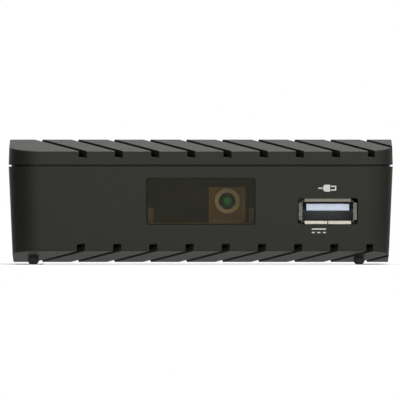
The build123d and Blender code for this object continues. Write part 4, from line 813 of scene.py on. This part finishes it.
class TUNER_OT_front_marks(bpy.types.Operator):
    """Print a plug sign over the front socket and a direct-current sign under it"""

    bl_idname = "tuner.front_marks"
    bl_label = "Front marks"

    def execute(self, context):
        marks = context.scene.tuner_marks
        ink = printing_ink(marks)
        line = marks.stroke / MM
        # Outlines are in millimetres about the middle of the sign, as the reader sees it.
        cord = bar(-2.2, -line / 2, -1.15, line / 2)
        grip = [(-0.6, -0.85), (0.7, -0.85), (0.7, 0.85), (-0.6, 0.85), (-1.0, 0.45), (-1.0, -0.45)]
        tip = [
            (0.85, -0.6), (2.2, -0.6), (2.2, 0.6), (0.85, 0.6),
            (0.85, 0.6 - line), (2.2 - line, 0.6 - line), (2.2 - line, line - 0.6), (0.85, line - 0.6),
        ]
        plug = [(cord, None), (grip, None), (tip, None)]
        current = current_sign(line)
        print_mark("plug_sign", "bottom_tub", -1, PLUG_SIGN_PLACE, plug, marks.film, ink)
        print_mark("front_current_sign", "bottom_tub", -1, CURRENT_SIGN_PLACE, current, marks.film, ink)
        return {"FINISHED"}


class TUNER_OT_rear_marks(bpy.types.Operator):
    """Print a small sign over each rear socket"""

    bl_idname = "tuner.rear_marks"
    bl_label = "Rear marks"

    def execute(self, context):
        marks = context.scene.tuner_marks
        ink = printing_ink(marks)
        line = marks.stroke / MM
        # Outlines are in millimetres about the middle of the sign, as the reader sees it.
        mast = bar(-line / 2, -1.4, line / 2, -0.3)
        outer_fan = [(-1.3, 1.3), (0.0, -0.2), (1.3, 1.3)]
        inner_fan = [(-0.72, 1.3 - line), (0.0, 0.46), (0.72, 1.3 - line)]
        aerial = [(mast, None), (outer_fan, inner_fan)]
        arrow = [
            (-line / 2, -1.2), (line / 2, -1.2), (line / 2, 0.2),
            (0.6, 0.2), (0.0, 1.2), (-0.6, 0.2), (-line / 2, 0.2),
        ]
        inward = [(u, -v) for u, v in arrow]
        screen = [
            (bar(-1.7, -0.8, 1.7, 1.3), bar(line - 1.7, line - 0.8, 1.7 - line, 1.3 - line)),
            (bar(-0.9, -1.4, 0.9, line - 1.4), None),
        ]
        jack = [(disc(1.2), disc(1.2 - line)), (disc(0.45), None)]
        signs = (
            ("aerial_in_shell", "aerial_in_sign", aerial + [(moved(inward, 2.4, 0.0), None)]),
            ("aerial_out_sleeve", "aerial_out_sign", aerial + [(moved(arrow, 2.4, 0.0), None)]),
            ("video_socket_shell", "screen_sign", screen),
            ("av_jack_bushing", "jack_sign", jack),
            ("power_jack_pin", "rear_current_sign", current_sign(line)),
        )
        for socket, name, shapes in signs:
            low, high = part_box(socket)
            place = ((low.x + high.x) / 2 / MM, REAR_SIGN_HEIGHT)
            print_mark(name, "rear_panel", 1, place, shapes, marks.film, ink)
        return {"FINISHED"}


OPERATORS = (
    TUNER_OT_stage,
    TUNER_OT_case,
    TUNER_OT_window,
    TUNER_OT_feet,
    TUNER_OT_lamp,
    TUNER_OT_sockets,
    TUNER_OT_board,
    TUNER_OT_front_marks,
    TUNER_OT_rear_marks,
)


class TUNER_PT_looks(bpy.types.Panel):
    """Finishes, marks and studio of the tuner"""

    bl_idname = "TUNER_PT_looks"
    bl_label = "Tuner"
    bl_space_type = "VIEW_3D"
    bl_region_type = "UI"
    bl_category = "Tuner"

    def draw(self, context):
        scene = context.scene
        for operator in OPERATORS:
            self.layout.operator(operator.bl_idname)
        for group in (scene.tuner_finishes, scene.tuner_marks, scene.tuner_stage):
            box = self.layout.box()
            for setting in group.__annotations__:
                box.prop(group, setting)


CLASSES = (TunerFinishes, TunerMarks, TunerStage) + OPERATORS + (TUNER_PT_looks,)


def register():
    for cls in CLASSES:
        bpy.utils.register_class(cls)
    bpy.types.Scene.tuner_finishes = bpy.props.PointerProperty(type=TunerFinishes)
    bpy.types.Scene.tuner_marks = bpy.props.PointerProperty(type=TunerMarks)
    bpy.types.Scene.tuner_stage = bpy.props.PointerProperty(type=TunerStage)


def unregister():
    del bpy.types.Scene.tuner_stage
    del bpy.types.Scene.tuner_marks
    del bpy.types.Scene.tuner_finishes
    for cls in reversed(CLASSES):
        bpy.utils.unregister_class(cls)


def main():
    register()
    bpy.ops.tuner.stage()
    bpy.ops.tuner.case()
    bpy.ops.tuner.window()
    bpy.ops.tuner.feet()
    bpy.ops.tuner.lamp()
    bpy.ops.tuner.sockets()
    bpy.ops.tuner.board()
    bpy.ops.tuner.front_marks()
    bpy.ops.tuner.rear_marks()


if __name__ == "__main__":
    main()
